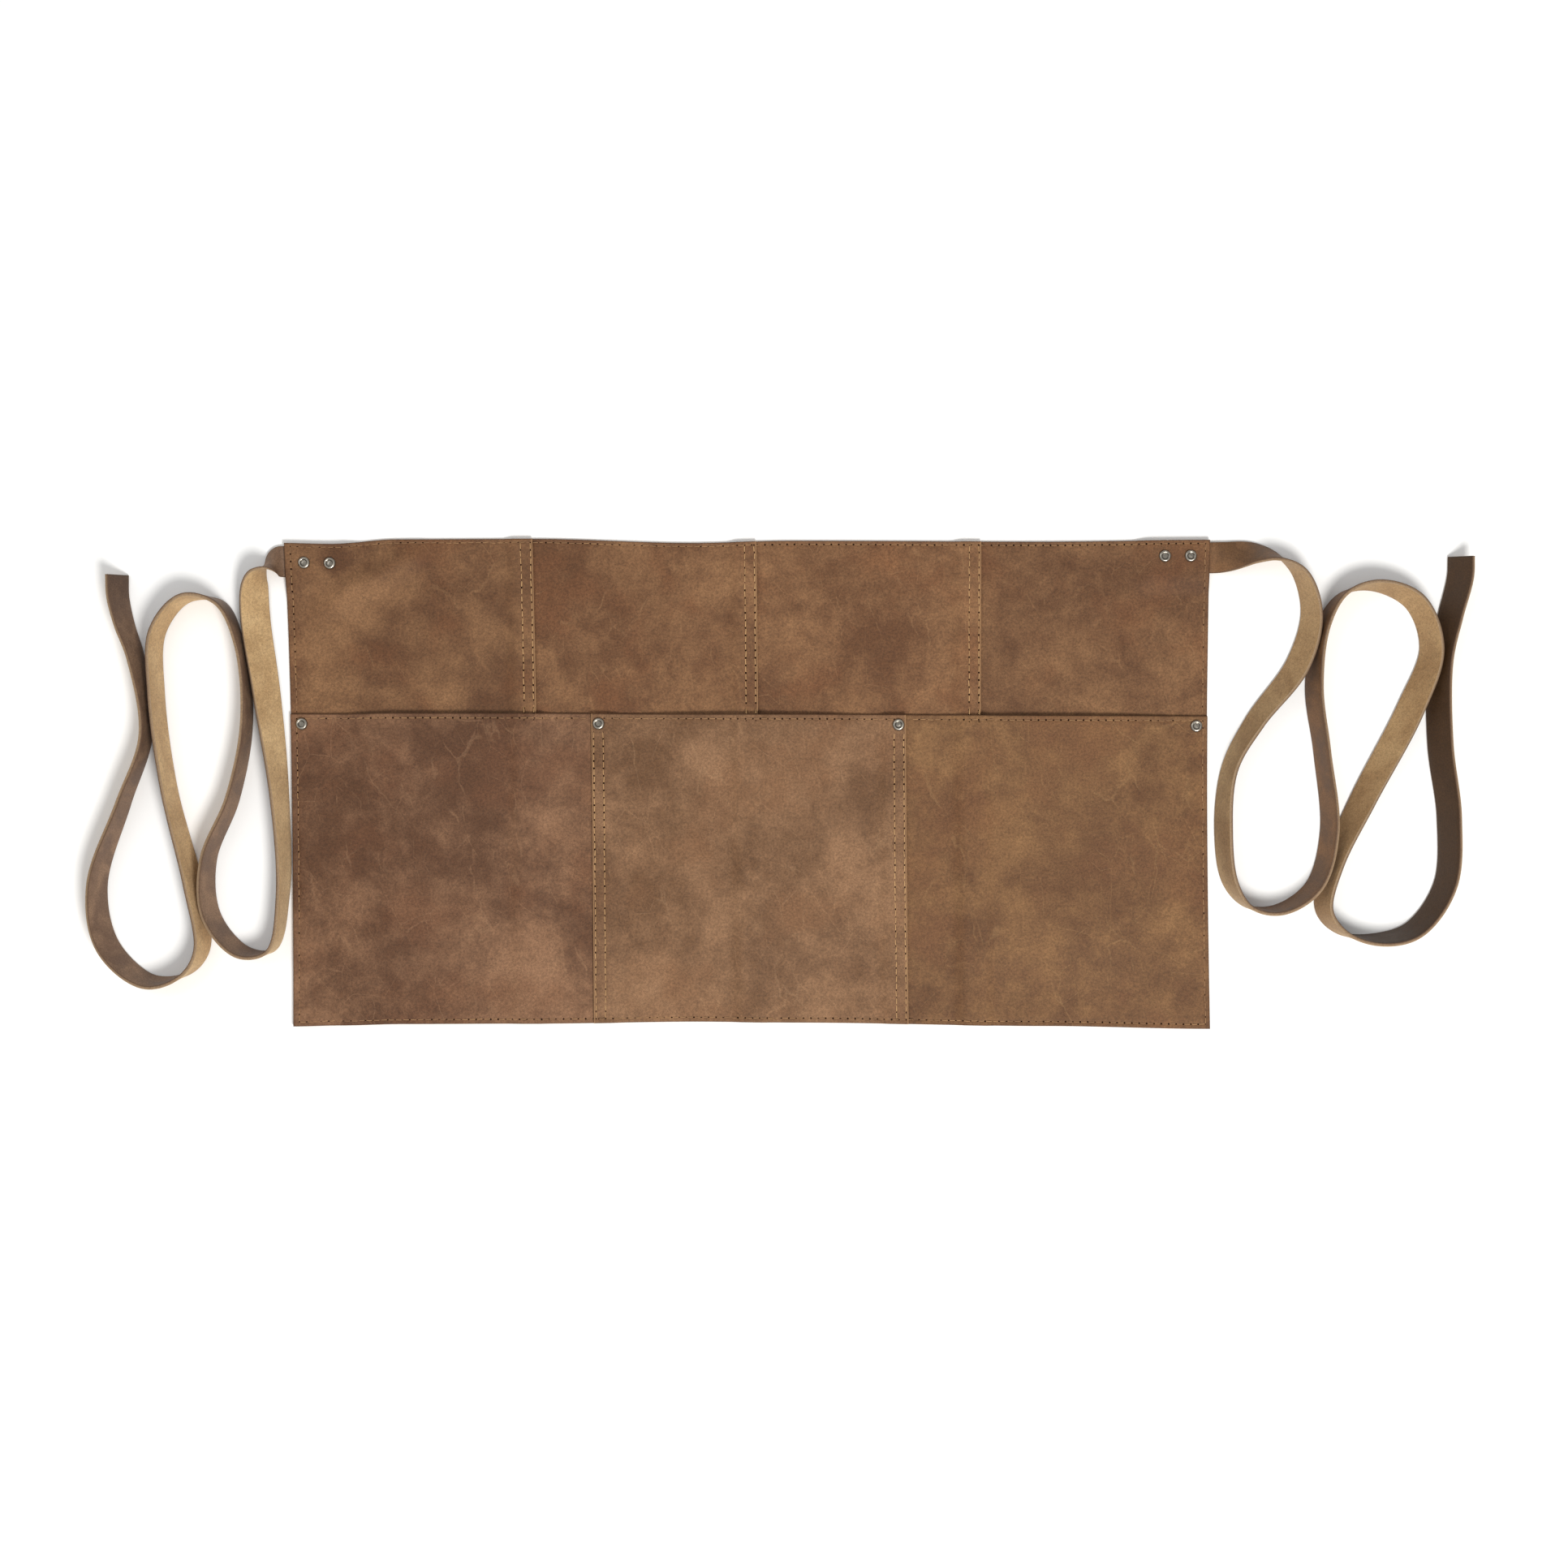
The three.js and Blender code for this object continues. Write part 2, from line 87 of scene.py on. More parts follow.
# The ties, as in the CAD model
TIE_WIDTH = 0.0205
TIE_LEATHER = 0.0024
TIE_TAIL = 0.037
TIE_MARGIN = 0.0015
TIE_RAMP = 0.015
TIE_CORNER = 0.45 * MM
RINGS_PER_ROW = 12
LEAN_WEIGHT = 0.0001
LEFT_ROUTE = [
    {"out": 0.04, "up": 0.959, "lean": 90},
    {"out": 0.29, "up": 0.957, "lean": 54},
    {"out": 0.51, "up": 0.949, "lean": 18},
    {"out": 0.68, "up": 0.938, "lean": -8},
    {"out": 0.82, "up": 0.924, "lean": -32},
    {"out": 0.9, "up": 0.907, "lean": -46},
    {"out": 0.93, "up": 0.886, "lean": -54},
    {"out": 0.88, "up": 0.83, "lean": -58},
    {"out": 0.53, "up": 0.688, "lean": -48},
    {"out": 0.09, "up": 0.472, "lean": -23},
    {"out": -0.02, "up": 0.272, "lean": -11},
    {"out": 0.37, "up": 0.158, "lean": -2},
    {"out": 1.3, "up": 0.155, "lean": 17},
    {"out": 2.28, "up": 0.228, "lean": 22},
    {"out": 2.38, "up": 0.343, "lean": 17},
    {"out": 1.6, "up": 0.47, "lean": 12},
    {"out": 1.14, "up": 0.629, "lean": 8},
    {"out": 1.38, "up": 0.787, "lean": 4},
    {"out": 2.0, "up": 0.871, "lean": 6},
    {"out": 3.12, "up": 0.882, "lean": -9},
    {"out": 4.0, "up": 0.815, "lean": -16},
    {"out": 4.05, "up": 0.69, "lean": -16},
    {"out": 3.64, "up": 0.492, "lean": -16},
    {"out": 2.88, "up": 0.295, "lean": -21},
    {"out": 2.58, "up": 0.16, "lean": -15},
    {"out": 3.12, "up": 0.109, "lean": -1},
    {"out": 4.3, "up": 0.094, "lean": 20},
    {"out": 5.6, "up": 0.165, "lean": 32},
    {"out": 5.95, "up": 0.29, "lean": 24},
    {"out": 5.1, "up": 0.46, "lean": 12},
    {"out": 4.38, "up": 0.6, "lean": 8},
    {"out": 4.7, "up": 0.757, "lean": 17},
    {"out": 5.08, "up": 0.83, "lean": 24},
    {"out": 5.28, "up": 0.885, "lean": 28},
    {"out": 5.31, "up": 0.93, "lean": 30},
]
RIGHT_ROUTE = [
    {"out": 0.09, "up": 0.967, "lean": 90},
    {"out": 0.5, "up": 0.968, "lean": 74},
    {"out": 1.38, "up": 0.975, "lean": 42},
    {"out": 2.12, "up": 0.967, "lean": 14},
    {"out": 2.85, "up": 0.932, "lean": -14},
    {"out": 3.22, "up": 0.85, "lean": -29},
    {"out": 2.78, "up": 0.745, "lean": -38},
    {"out": 1.39, "up": 0.627, "lean": -28},
    {"out": 0.58, "up": 0.53, "lean": -19},
    {"out": 0.39, "up": 0.4, "lean": -22},
    {"out": 0.62, "up": 0.295, "lean": -16},
    {"out": 1.23, "up": 0.247, "lean": 0},
    {"out": 2.2, "up": 0.242, "lean": 13},
    {"out": 3.3, "up": 0.29, "lean": 20},
    {"out": 3.79, "up": 0.4, "lean": 22},
    {"out": 3.55, "up": 0.567, "lean": 18},
    {"out": 3.3, "up": 0.7, "lean": 20},
    {"out": 3.58, "up": 0.825, "lean": 13},
    {"out": 4.25, "up": 0.891, "lean": 2},
    {"out": 5.3, "up": 0.908, "lean": -13},
    {"out": 6.54, "up": 0.874, "lean": -28},
    {"out": 7.08, "up": 0.78, "lean": -34},
    {"out": 6.41, "up": 0.654, "lean": -47},
    {"out": 4.9, "up": 0.47, "lean": -41},
    {"out": 3.92, "up": 0.335, "lean": -26},
    {"out": 3.62, "up": 0.24, "lean": -19},
    {"out": 4.2, "up": 0.195, "lean": -5},
    {"out": 5.3, "up": 0.18, "lean": 16},
    {"out": 6.5, "up": 0.2, "lean": 27},
    {"out": 7.5, "up": 0.29, "lean": 31},
    {"out": 7.64, "up": 0.43, "lean": 34},
    {"out": 7.36, "up": 0.58, "lean": 37},
    {"out": 7.36, "up": 0.75, "lean": 35},
    {"out": 7.68, "up": 0.845, "lean": 36},
    {"out": 8.0, "up": 0.925, "lean": 40},
    {"out": 8.03, "up": 0.968, "lean": 40},
]

# Sewing
STITCH_PITCH = 4.85 * MM
THREAD_RADIUS = 0.27 * MM
HOLE_RADIUS = 0.68 * MM
STITCH_SEED = 7
TOP_INSET = 2.4 * MM
BOTTOM_INSET = 3.0 * MM
LEFT_INSET = 4.0 * MM
RIGHT_INSET = 3.0 * MM
HEM_INSET = 3.0 * MM
MOUTH_CLEAR = 1.5 * MM
SEAM_INSETS = (1.5 * MM, 7.9 * MM)
GROOVE_DEPTH = 0.28 * MM
GROOVE_WIDTH = 0.9 * MM
EDGE_ROUND = 0.6 * MM
EDGE_SINK = 0.55  # of the rounding, that the grain side drops at a cut edge
RIM_WIDTH = 1.2 * MM
STITCH_LIFT = 0.05 * MM
PATH_STEP = 1.2 * MM


def linear(*rgb):
    """A colour given as screen values from 0 to 255, as Blender's linear ones."""
    return tuple(((v / 255 + 0.055) / 1.055) ** 2.4 for v in rgb) + (1.0,)


# Shapes of the leather


def ease(t):
    t = np.clip(t, 0, 1)
    return t * t * (3 - 2 * t)


def wave(key, share):
    """How far the top or bottom edge wanders at a share of the width."""
    share = np.asarray(share, float)
    value = np.full(share.shape, float(EDGE_WAVES[0][key]))
    for start, end in zip(EDGE_WAVES, EDGE_WAVES[1:]):
        t = ease((share - start["across"]) / (end["across"] - start["across"]))
        value = value + (end[key] - start[key]) * t
    return value


def lay(across, up):
    u, v = across / WIDTH, up / HEIGHT
    left = -WIDTH / 2 + LEFT_DRIFT * (1 - np.clip(v, 0, 1) ** DRIFT_POWER)
    right = WIDTH / 2 - RIGHT_BOW * np.sin(math.pi * v)
    waves = wave("top", u) * v**TOP_FADE + wave("bottom", u) * (1 - v) ** BOTTOM_FADE
    return left + (right - left) * u, HEIGHT * (v - 0.5 + waves)


def mouth(across):
    return POCKET_HEIGHT - MOUTH_FALL * across / WIDTH


def tail_lift(route, from_side, up):
    past = np.maximum(0, from_side - TIE_TAIL - TIE_MARGIN)
    off = np.maximum(0, np.abs(up - route[0]["up"] * HEIGHT) - TIE_WIDTH / 2 - TIE_MARGIN)
    return (TIE_LEATHER + GAP) * (1 - ease(np.hypot(past, off) / TIE_RAMP))


def back_under(panel, across, up):
    if panel == 3:
        return tail_lift(RIGHT_ROUTE, WIDTH - across, up)
    height = LAYER * ease((across - SEAMS[panel] + LAP + GAP + RAMP) / RAMP)
    if panel == 0:
        height = height + tail_lift(LEFT_ROUTE, across, up)
    return height


def back_top(across):
    """How high the back stands under the pockets, where its laps are bridged smoothly."""
    height = np.zeros(np.shape(across))
    for seam in SEAMS:
        rise = ease((across - seam + LAP + GAP + RAMP) / RAMP)
        fall = 1 - ease((across - seam - GAP) / RAMP)
        height = np.maximum(height, np.minimum(rise, fall))
    return LEATHER + LAYER * height


POCKET_RUNS = {
    "left": (0, MIDDLE_START),
    "middle": (MIDDLE_START, MIDDLE_END),
    "right": (MIDDLE_END, WIDTH),
}


def pocket_under(pocket, across, up):
    start, end = POCKET_RUNS[pocket]
    inwards = np.minimum(across - start, end - across) - BELLY_START
    belly = BELLY * ease(inwards / BELLY_RISE) * ease((up - BELLY_FOOT) / BELLY_RISE)
    height = back_top(across) + GAP + belly
    if pocket == "middle":
        inside = np.minimum(across - start, end - across)
        height = height + LAYER * (1 - ease((inside - LAP - GAP) / RAMP))
    return height


# Sewn lines


def sewn_lines():
    """Every line of stitches that shows: its name and its ends on the cut leather."""
    rows = [
        ("top", (LEFT_INSET, HEIGHT - TOP_INSET), (WIDTH - RIGHT_INSET, HEIGHT - TOP_INSET)),
        ("bottom", (LEFT_INSET, BOTTOM_INSET), (WIDTH - RIGHT_INSET, BOTTOM_INSET)),
    ]
    for side, at in (("left", LEFT_INSET), ("right", WIDTH - RIGHT_INSET)):
        rows.append((side, (at, BOTTOM_INSET), (at, mouth(at) - HEM_INSET)))
        rows.append((side, (at, mouth(at) + MOUTH_CLEAR), (at, HEIGHT - TOP_INSET)))
    for start, end in POCKET_RUNS.values():
        ends = [(a, mouth(a) - HEM_INSET) for a in (start + LEFT_INSET, end - RIGHT_INSET)]
        rows.append(("hem", *ends))
    for seam in SEAMS:
        for inset in SEAM_INSETS:
            at = seam - inset
            rows.append(("back_seam", (at, mouth(at) - LEFT_INSET), (at, HEIGHT - TOP_INSET)))
    below_rivet = 2 * SEAM_INSETS[1] - LEFT_INSET
    for edge, inward in ((MIDDLE_START, 1), (MIDDLE_END, -1)):
        for inset in SEAM_INSETS:
            at = edge + inward * inset
            rows.append(("pocket_seam", (at, BOTTOM_INSET), (at, mouth(at) - below_rivet)))
    return rows


LINES = sewn_lines()


def groove(across, up):
    """How deep the leather is drawn in beside the sewn lines."""
    depth = np.zeros(np.broadcast(across, up).shape)
    for _, (a0, u0), (a1, u1) in LINES:
        along = np.array([a1 - a0, u1 - u0])
        length = np.hypot(*along)
        t = ((across - a0) * along[0] + (up - u0) * along[1]) / length**2
        nearest = np.clip(t, 0, 1)
        off = np.hypot(across - a0 - nearest * along[0], up - u0 - nearest * along[1])
        pinch = 0.8 + 0.2 * np.cos(2 * math.pi * nearest * length / STITCH_PITCH)
        depth = np.maximum(depth, GROOVE_DEPTH * pinch * np.exp(-((off / GROOVE_WIDTH) ** 2)))
    return depth


def ripple(x, y, length, seed):
    """Slow waves of leather that has been folded and handled, from 0 to 1."""
    draw = np.random.default_rng(seed)
    total = np.zeros(np.broadcast(x, y).shape)
    count = 9
    for k in range(count):
        heading = draw.uniform(0, math.pi)
        size = length * draw.uniform(0.6, 1.7)
        phase = draw.uniform(0, 2 * math.pi)
        total += np.sin((x * math.cos(heading) + y * math.sin(heading)) * 2 * math.pi / size + phase)
    return 0.5 + 0.5 * np.clip(total / math.sqrt(2 * count), -1, 1)


def swell(x, y, start, end, width, height):
    """A low ridge of leather along a straight line."""
    (x0, y0), (x1, y1) = start, end
    dx, dy = x1 - x0, y1 - y0
    t = np.clip(((x - x0) * dx + (y - y0) * dy) / (dx * dx + dy * dy), -0.4, 1.4)
    off = np.hypot(x - x0 - t * dx, y - y0 - t * dy)
    return height * np.exp(-((off / width) ** 2)) * (1 - ease(np.abs(t - 0.5) * 2 - 0.6))


# Where the leather has been handled, in millimetres: place, how far it reaches, and its tone from -1,
# dark with oil, to 1, pulled light. Some rows of the first back panel are painted highlight and painted
# shade along the fold at its top left corner.
HANDLED_TONE_AND_FOLD_SHADING = {
    "back_panel_1": [
        (-277, 76, 24, 1.0),
        (-250, 121, 20, 0.8),
        (-228, 108, 14, 0.4),
        (-204, 57, 7, 0.8),
        (-156, 135, 10, 0.35),
        # Painted shade: these two darks lie in the valley of the fold at the top left corner.
        (-245, 147, 12, -0.7),
        (-262, 138, 10, -0.5),
        (-239, 86, 16, -0.7),
        (-191, 102, 30, -0.5),
        # Painted highlight along the lit ridge of the fold.
        (-235, 155, 6, 1.1),
        (-247, 149, 7, 1.1),
        (-260, 142, 6, 0.7),
        # Painted shade in the fold's valley, beside the ridge.
        (-262, 154, 8, -1.3),
        (-272, 144, 8, -1.0),
    ],
    "back_panel_2": [
        (-129, 86, 11, 0.5),
        (-40, 60, 12, 0.4),
        (-19, 129, 16, 0.2),
        (-124, 135, 22, -0.5),
        (-105, 86, 20, -0.6),
    ],
    "back_panel_3": [
        (120, 148, 14, 0.6),
        (37, 124, 14, 0.45),
        (18, 145, 10, 0.3),
        (61, 108, 9, 0.3),
        (88, 97, 26, -0.45),
        (13, 57, 14, -0.5),
    ],
    "back_panel_4": [
        (238, 54, 8, 0.4),
        (260, 97, 14, 0.25),
        (174, 148, 12, 0.2),
        (206, 113, 32, -0.25),
        (287, 135, 12, -0.3),
    ],
    "pocket_left": [
        (-137, 38, 18, 0.6),
        (-121, -64, 20, 0.6),
        (-153, -101, 22, 0.4),
        (-137, -134, 26, 1.0),
        (-285, -155, 14, 0.8),
        (-207, -32, 16, 0.3),
        (-282, 11, 28, -0.6),
        (-185, 11, 30, -0.7),
        (-271, -48, 26, -0.5),
        (-239, -101, 18, -0.9),
        (-276, -112, 16, -0.5),
    ],
    "pocket_middle": [
        (-27, 14, 13, 0.9),
        (-19, 33, 12, 0.5),
        (35, 0, 16, 0.7),
        (-19, -88, 12, 0.7),
        (67, -53, 16, 0.8),
        (-78, -48, 13, 0.4),
        (-67, -123, 26, 0.4),
        (91, -85, 12, 0.4),
        (51, -128, 18, 0.4),
        (-73, 11, 22, -0.5),
        (-73, -85, 22, -0.7),
        (2, -48, 14, -0.5),
        (78, -5, 18, -0.6),
        (13, -112, 20, -0.3),
    ],
    "pocket_right": [
        (126, 11, 16, 0.8),
        (174, -32, 22, 0.8),
        (273, -91, 13, 0.6),
        (238, 6, 14, 0.3),
        (222, -134, 20, 0.2),
        (147, -91, 28, -0.5),
        (295, -21, 12, -0.7),
        (260, 0, 10, -0.5),
        (206, -75, 20, -0.3),
        (169, 11, 12, -0.3),
    ],
}


WANDER = 14 * MM
WANDER_LENGTH = 0.045


def handled_tone_and_fold_shading(piece, x, y):
    """The tone that handling has left on a piece, with wandering borders, and on the first back panel
    painted highlight and shade along its fold.
    """
    bent_x = x + WANDER * (ripple(x, y, WANDER_LENGTH, 31) - 0.5)
    bent_y = y + WANDER * (ripple(x, y, WANDER_LENGTH, 32) - 0.5)
    tone = np.zeros(np.shape(x))
    for at_x, at_y, reach, strength in HANDLED_TONE_AND_FOLD_SHADING[piece]:
        off = np.hypot(bent_x - at_x * MM, bent_y - at_y * MM)
        tone += strength * np.exp(-((off / (reach * MM)) ** 2))
    return tone


# Meshes


def spread(start, end, step):
    count = max(1, math.ceil((end - start) / step))
    return [start + (end - start) * k / count for k in range(count + 1)]


# Millimetres: mesh lines either side of a sewn line, and inwards from a cut edge.
FINE = (-2.0, -1.2, -0.6, 0.0, 0.6, 1.2, 2.0)
BORDER = (0.0, 0.15, 0.35, 0.7, 1.3)
MESH_STEP = 3 * MM
LEAST_STEP = 0.12 * MM


def lines(start, end, step, fine):
    """Places of mesh lines from start to end, with close ones round each place in fine."""
    near = [start + b * MM for b in BORDER] + [end - b * MM for b in BORDER]
    for place in fine:
        near += [place + f * MM for f in FINE]
    kept = []
    for line in sorted(set(near)):
        if start <= line <= end and (not kept or line > kept[-1] + LEAST_STEP):
            kept.append(line)
    filled = []
    for low, high in zip(kept, kept[1:]):
        filled += spread(low, high, step)[:-1]
    return np.array(filled + [kept[-1]])


def mesh_object(name, points, faces, finishes, face_finish=None):
    mesh = bpy.data.meshes.new(name)
    mesh.from_pydata([tuple(p) for p in points], [], [tuple(f) for f in faces])
    for finish in finishes:
        mesh.materials.append(finish)
    if face_finish is not None:
        mesh.polygons.foreach_set("material_index", np.asarray(face_finish, np.int32))
    mesh.polygons.foreach_set("use_smooth", np.full(len(mesh.polygons), True))
    mesh.update()
    made = bpy.data.objects.new(name, mesh)
    bpy.context.scene.collection.objects.link(made)
    return made


def mark(made, name, values):
    """Keeps a number at each point of a mesh for its material to read."""
    kept = made.data.attributes.new(name, "FLOAT", "POINT")
    kept.data.foreach_set("value", np.asarray(values, np.float32).ravel())


def leather_sheet(name, start, end, top_at, under, relief, finishes, raw_sides):
    """A cut piece of leather: grain side up, flesh side down and a cut edge all round."""
    uprights = [a for _, (a, _), (b, _) in LINES if a == b]
    levels = [b / HEIGHT for _, (_, b), (_, c) in LINES if b == c]
    across = lines(start, end, MESH_STEP, [a for a in uprights if start < a < end])
    tall = top_at(start)
    fine = [level * HEIGHT for level in levels if level * HEIGHT < tall]
    if tall < HEIGHT:
        fine.append(tall - HEM_INSET)
    share = lines(0, tall, MESH_STEP, fine) / tall
    a = across[:, None]
    up = share[None, :] * top_at(a)
    a = a + 0 * up
    x, y = lay(a, up)
    low = under(a, up) + relief(x, y)
    inside = np.minimum(np.minimum(a - start, end - a), np.minimum(up, top_at(a) - up))
    round_off = EDGE_ROUND * (1 - np.sqrt(1 - np.clip(1 - inside / EDGE_ROUND, 0, 1) ** 2))
    high = low + LEATHER - EDGE_SINK * round_off - groove(a, up)
    n, m = a.shape
    top = np.stack([x, y, high], -1).reshape(-1, 3)
    bottom = np.stack([x, y, low], -1).reshape(-1, 3)
    index = np.arange(n * m).reshape(n, m)
    quads = np.stack([index[:-1, :-1], index[1:, :-1], index[1:, 1:], index[:-1, 1:]], -1)
    upper = quads.reshape(-1, 4)
    lower = upper[:, ::-1] + n * m
    rim = np.concatenate([index[:, 0], index[-1, 1:], index[-2::-1, -1], index[0, -2:0:-1]])
    after = np.roll(rim, -1)
    wall = np.stack([rim, rim + n * m, after + n * m, after], -1)
    faces = np.concatenate([upper, lower, wall])
    finish = [0] * len(upper) + [1] * len(lower) + [2] * len(wall)
    made = mesh_object(f"leather_{name}", np.concatenate([top, bottom]), faces, finishes, finish)
    made.data.polygons.foreach_set("use_smooth", np.array(finish) != 2)
    left_raw, right_raw = raw_sides
    raw = np.maximum(left_raw * near_edge(a - start), right_raw * near_edge(end - a))
    burnt = np.maximum(near_edge(top_at(a) - up), near_edge(up))
    burnt = np.maximum(burnt, (1 - left_raw) * near_edge(a - start))
    burnt = np.maximum(burnt, (1 - right_raw) * near_edge(end - a))
    mark(made, "rim", np.concatenate([(raw - burnt * (raw == 0)).ravel(), np.zeros(n * m)]))
    # Handled tone, which on the first back panel also carries painted highlight and shade along the fold.
    mark(made, "shade", np.tile(handled_tone_and_fold_shading(name, x, y).ravel(), 2))
    mark(made, "through", np.repeat([0.0, 1.0], n * m))
    return made


def near_edge(inside):
    return 1 - ease(inside / RIM_WIDTH)


def surface(across, up):
    """The height of the leather that shows at a place on the apron."""
    across, up = np.asarray(across, float), np.asarray(up, float)
    x, y = lay(across, up)
    height = np.zeros(across.shape)
    starts = [0, *SEAMS]
    for panel, (start, end) in enumerate(zip(starts, [*SEAMS, WIDTH])):
        here = (across >= start) & (across <= end)
        value = back_under(panel, across, up) + BACK_RELIEF[panel](x, y)
        height = np.where(here, value, height)
    for pocket, (start, end) in POCKET_RUNS.items():
        here = (across >= start) & (across <= end) & (up < mouth(across))
        value = pocket_under(pocket, across, up) + POCKET_RELIEF[pocket](x, y)
        height = np.where(here, value, height)
    return x, y, height + LEATHER - groove(across, up)


# Materials


class Value:
    """A socket of a material's nodes that can be used in sums."""

    def __init__(self, paint, socket):
        self.paint = paint
        self.socket = socket

    def __add__(self, other):
        return self.paint.math("ADD", self, other)

    def __radd__(self, other):
        return self.paint.math("ADD", other, self)

    def __sub__(self, other):
        return self.paint.math("SUBTRACT", self, other)

    def __mul__(self, other):
        return self.paint.math("MULTIPLY", self, other)


class Paint:
    """A material that is being mixed."""

    def __init__(self, name):
        self.material = bpy.data.materials.new(name)
        self.material.use_nodes = True
        self.tree = self.material.node_tree
        self.shader = self.tree.nodes["Principled BSDF"]

    def node(self, kind, settings, sockets, out=0):
        made = self.tree.nodes.new(kind)
        for key, value in settings.items():
            setattr(made, key, value)
        for key, value in sockets.items():
            self.give(made, key, value)
        return Value(self, self.find(made.outputs, out))

    def find(self, sockets, key):
        if isinstance(key, int):
            return sockets[key]
        return next(s for s in sockets if key in (s.identifier, s.name))

    def give(self, node, key, value):
        socket = self.find(node.inputs, key)
        if isinstance(value, Value):
            self.tree.links.new(value.socket, socket)
        else:
            socket.default_value = value

    def place(self, offset=(0, 0, 0), turn=(0, 0, 0), scale=(1, 1, 1)):
        coordinates = self.node("ShaderNodeTexCoord", {}, {}, "Object")
        sockets = {"Vector": coordinates, "Location": offset, "Rotation": turn, "Scale": scale}
        return self.node("ShaderNodeMapping", {}, sockets)

    def math(self, operation, *values):
        return self.node("ShaderNodeMath", {"operation": operation}, dict(enumerate(values)))

    def vector(self, operation, *values, scale=1.0):
        sockets = {**dict(enumerate(values)), "Scale": scale}
        return self.node("ShaderNodeVectorMath", {"operation": operation}, sockets)

    def attribute(self, name):
        return self.node("ShaderNodeAttribute", {"attribute_name": name}, {}, "Fac")

    def noise(self, where, scale, detail=4.0, rough=0.55, warp=0.0, out=0):
        sockets = {"Vector": where, "Scale": scale, "Detail": detail, "Roughness": rough}
        return self.node("ShaderNodeTexNoise", {}, {**sockets, "Distortion": warp}, out)

    def veins(self, where, drift, scale, width):
        """Thin wandering creases, 1 in their middles."""
        bent = self.vector("MULTIPLY_ADD", drift, (0.5, 0.5, 0.5), where)
        sockets = {"Vector": bent, "Scale": scale, "Randomness": 1.0}
        off = self.node("ShaderNodeTexVoronoi", {"feature": "DISTANCE_TO_EDGE"}, sockets)
        return self.between(off, 0, width, 1, 0)

    def between(self, value, low, high, start=0.0, end=1.0):
        sockets = {"Value": value, "From Min": low, "From Max": high, "To Min": start, "To Max": end}
        return self.node("ShaderNodeMapRange", {"interpolation_type": "SMOOTHSTEP"}, sockets)

    def mix(self, factor, first, second):
        sockets = {"Factor_Float": factor, "A_Color": first, "B_Color": second}
        return self.node("ShaderNodeMix", {"data_type": "RGBA"}, sockets, "Result_Color")

    def bump(self, height, strength, distance):
        sockets = {"Height": height, "Strength": strength, "Distance": distance}
        return self.node("ShaderNodeBump", {}, sockets)

    def finish(self, **sockets):
        for key, value in sockets.items():
            self.give(self.shader, key.replace("_", " "), value)
        return self.material


def grain_leather(name, offset, tone, level):
    """Pull-up leather: clouds where the oil has moved, light creases, a fine nap and worn borders."""
    paint = Paint(name)
    where = paint.place(offset)
    drift = paint.noise(where, 13, 4, 0.55, out="Color")
    bent = paint.vector("MULTIPLY_ADD", drift, (0.034, 0.034, 0.034), where)
    clouds = paint.noise(bent, 16, 8, 0.62)
    wisps = paint.noise(bent, 66, 5, 0.62)
    # Handled tone from the mesh, with painted highlight and shade along the fold of the first back panel.
    shade = paint.attribute("shade")
    pulled = paint.between(clouds * 0.56 + wisps * 0.44 + shade * 0.14, 0.33, 0.73)
    color = paint.mix(pulled, linear(*tone["dark"]), linear(*tone["light"]))
    reddish = paint.between(paint.noise(where, 21, 4), 0.48, 0.7, 0, 0.5)
    color = paint.mix(reddish, color, linear(*tone["red"]))
    veins = 0
    for turn, scale, seed in ((0.5, 22, 0.0), (2.1, 30, 3.7), (1.2, 41, 8.1), (2.9, 53, 5.3)):
        along = paint.place((offset[0] + seed, offset[1], 0), (0, 0, turn), (1, 0.34, 1))
        shown = paint.between(paint.noise(where, scale * 0.8, 3), 0.46, 0.66)
        veins = veins + paint.veins(along, bent, scale, 0.0004 * scale) * shown
    color = paint.mix(paint.between(veins, 0, 1, 0, 0.26), color, linear(*tone["vein"]))
    nap = paint.noise(where, 640, 5, 0.75)
    dust = paint.noise(where, 2300, 2, 0.6)
    grain = paint.between(nap * 0.65 + dust * 0.35, 0.34, 0.66, 0.66 * level, 1.34 * level)
    color = paint.vector("SCALE", color, scale=grain)
    rim = paint.attribute("rim")
    color = paint.mix(paint.between(rim, 0, 1, 0, 0.75), color, linear(*RAW_BORDER))
    color = paint.mix(paint.between(rim, 0, -1, 0, 0.55), color, linear(*BURNT_BORDER))
    height = nap * 0.45 + dust * 0.2 + wisps * 0.8 - veins * 0.22
    return paint.finish(
        Base_Color=color,
        Roughness=paint.between(pulled, 0, 1, 0.62, 0.74),
        Normal=paint.bump(height, 0.5, 0.0008),
        Specular_IOR_Level=0.26,
    )


def flesh_leather(name, offset, pale, deep):
    """The flesh side: matt, with short fibres and soft shades."""
    paint = Paint(name)
    where = paint.place(offset)
    shade = paint.noise(where, 26, 5, 0.6, 0.3)
    fibre = paint.noise(where, 640, 5, 0.75, 0.5)
    dust = paint.noise(where, 2200, 2, 0.6)
    color = paint.mix(paint.between(shade, 0.3, 0.7), linear(*deep), linear(*pale))
    speck = fibre * 0.6 + dust * 0.4
    color = paint.vector("SCALE", color, scale=paint.between(speck, 0.34, 0.66, 0.7, 1.28))
    return paint.finish(
        Base_Color=color,
        Roughness=0.92,
        Normal=paint.bump(speck, 0.55, 0.0006),
        Specular_IOR_Level=0.15,
        Sheen_Weight=0.12,
        Sheen_Roughness=0.6,
    )


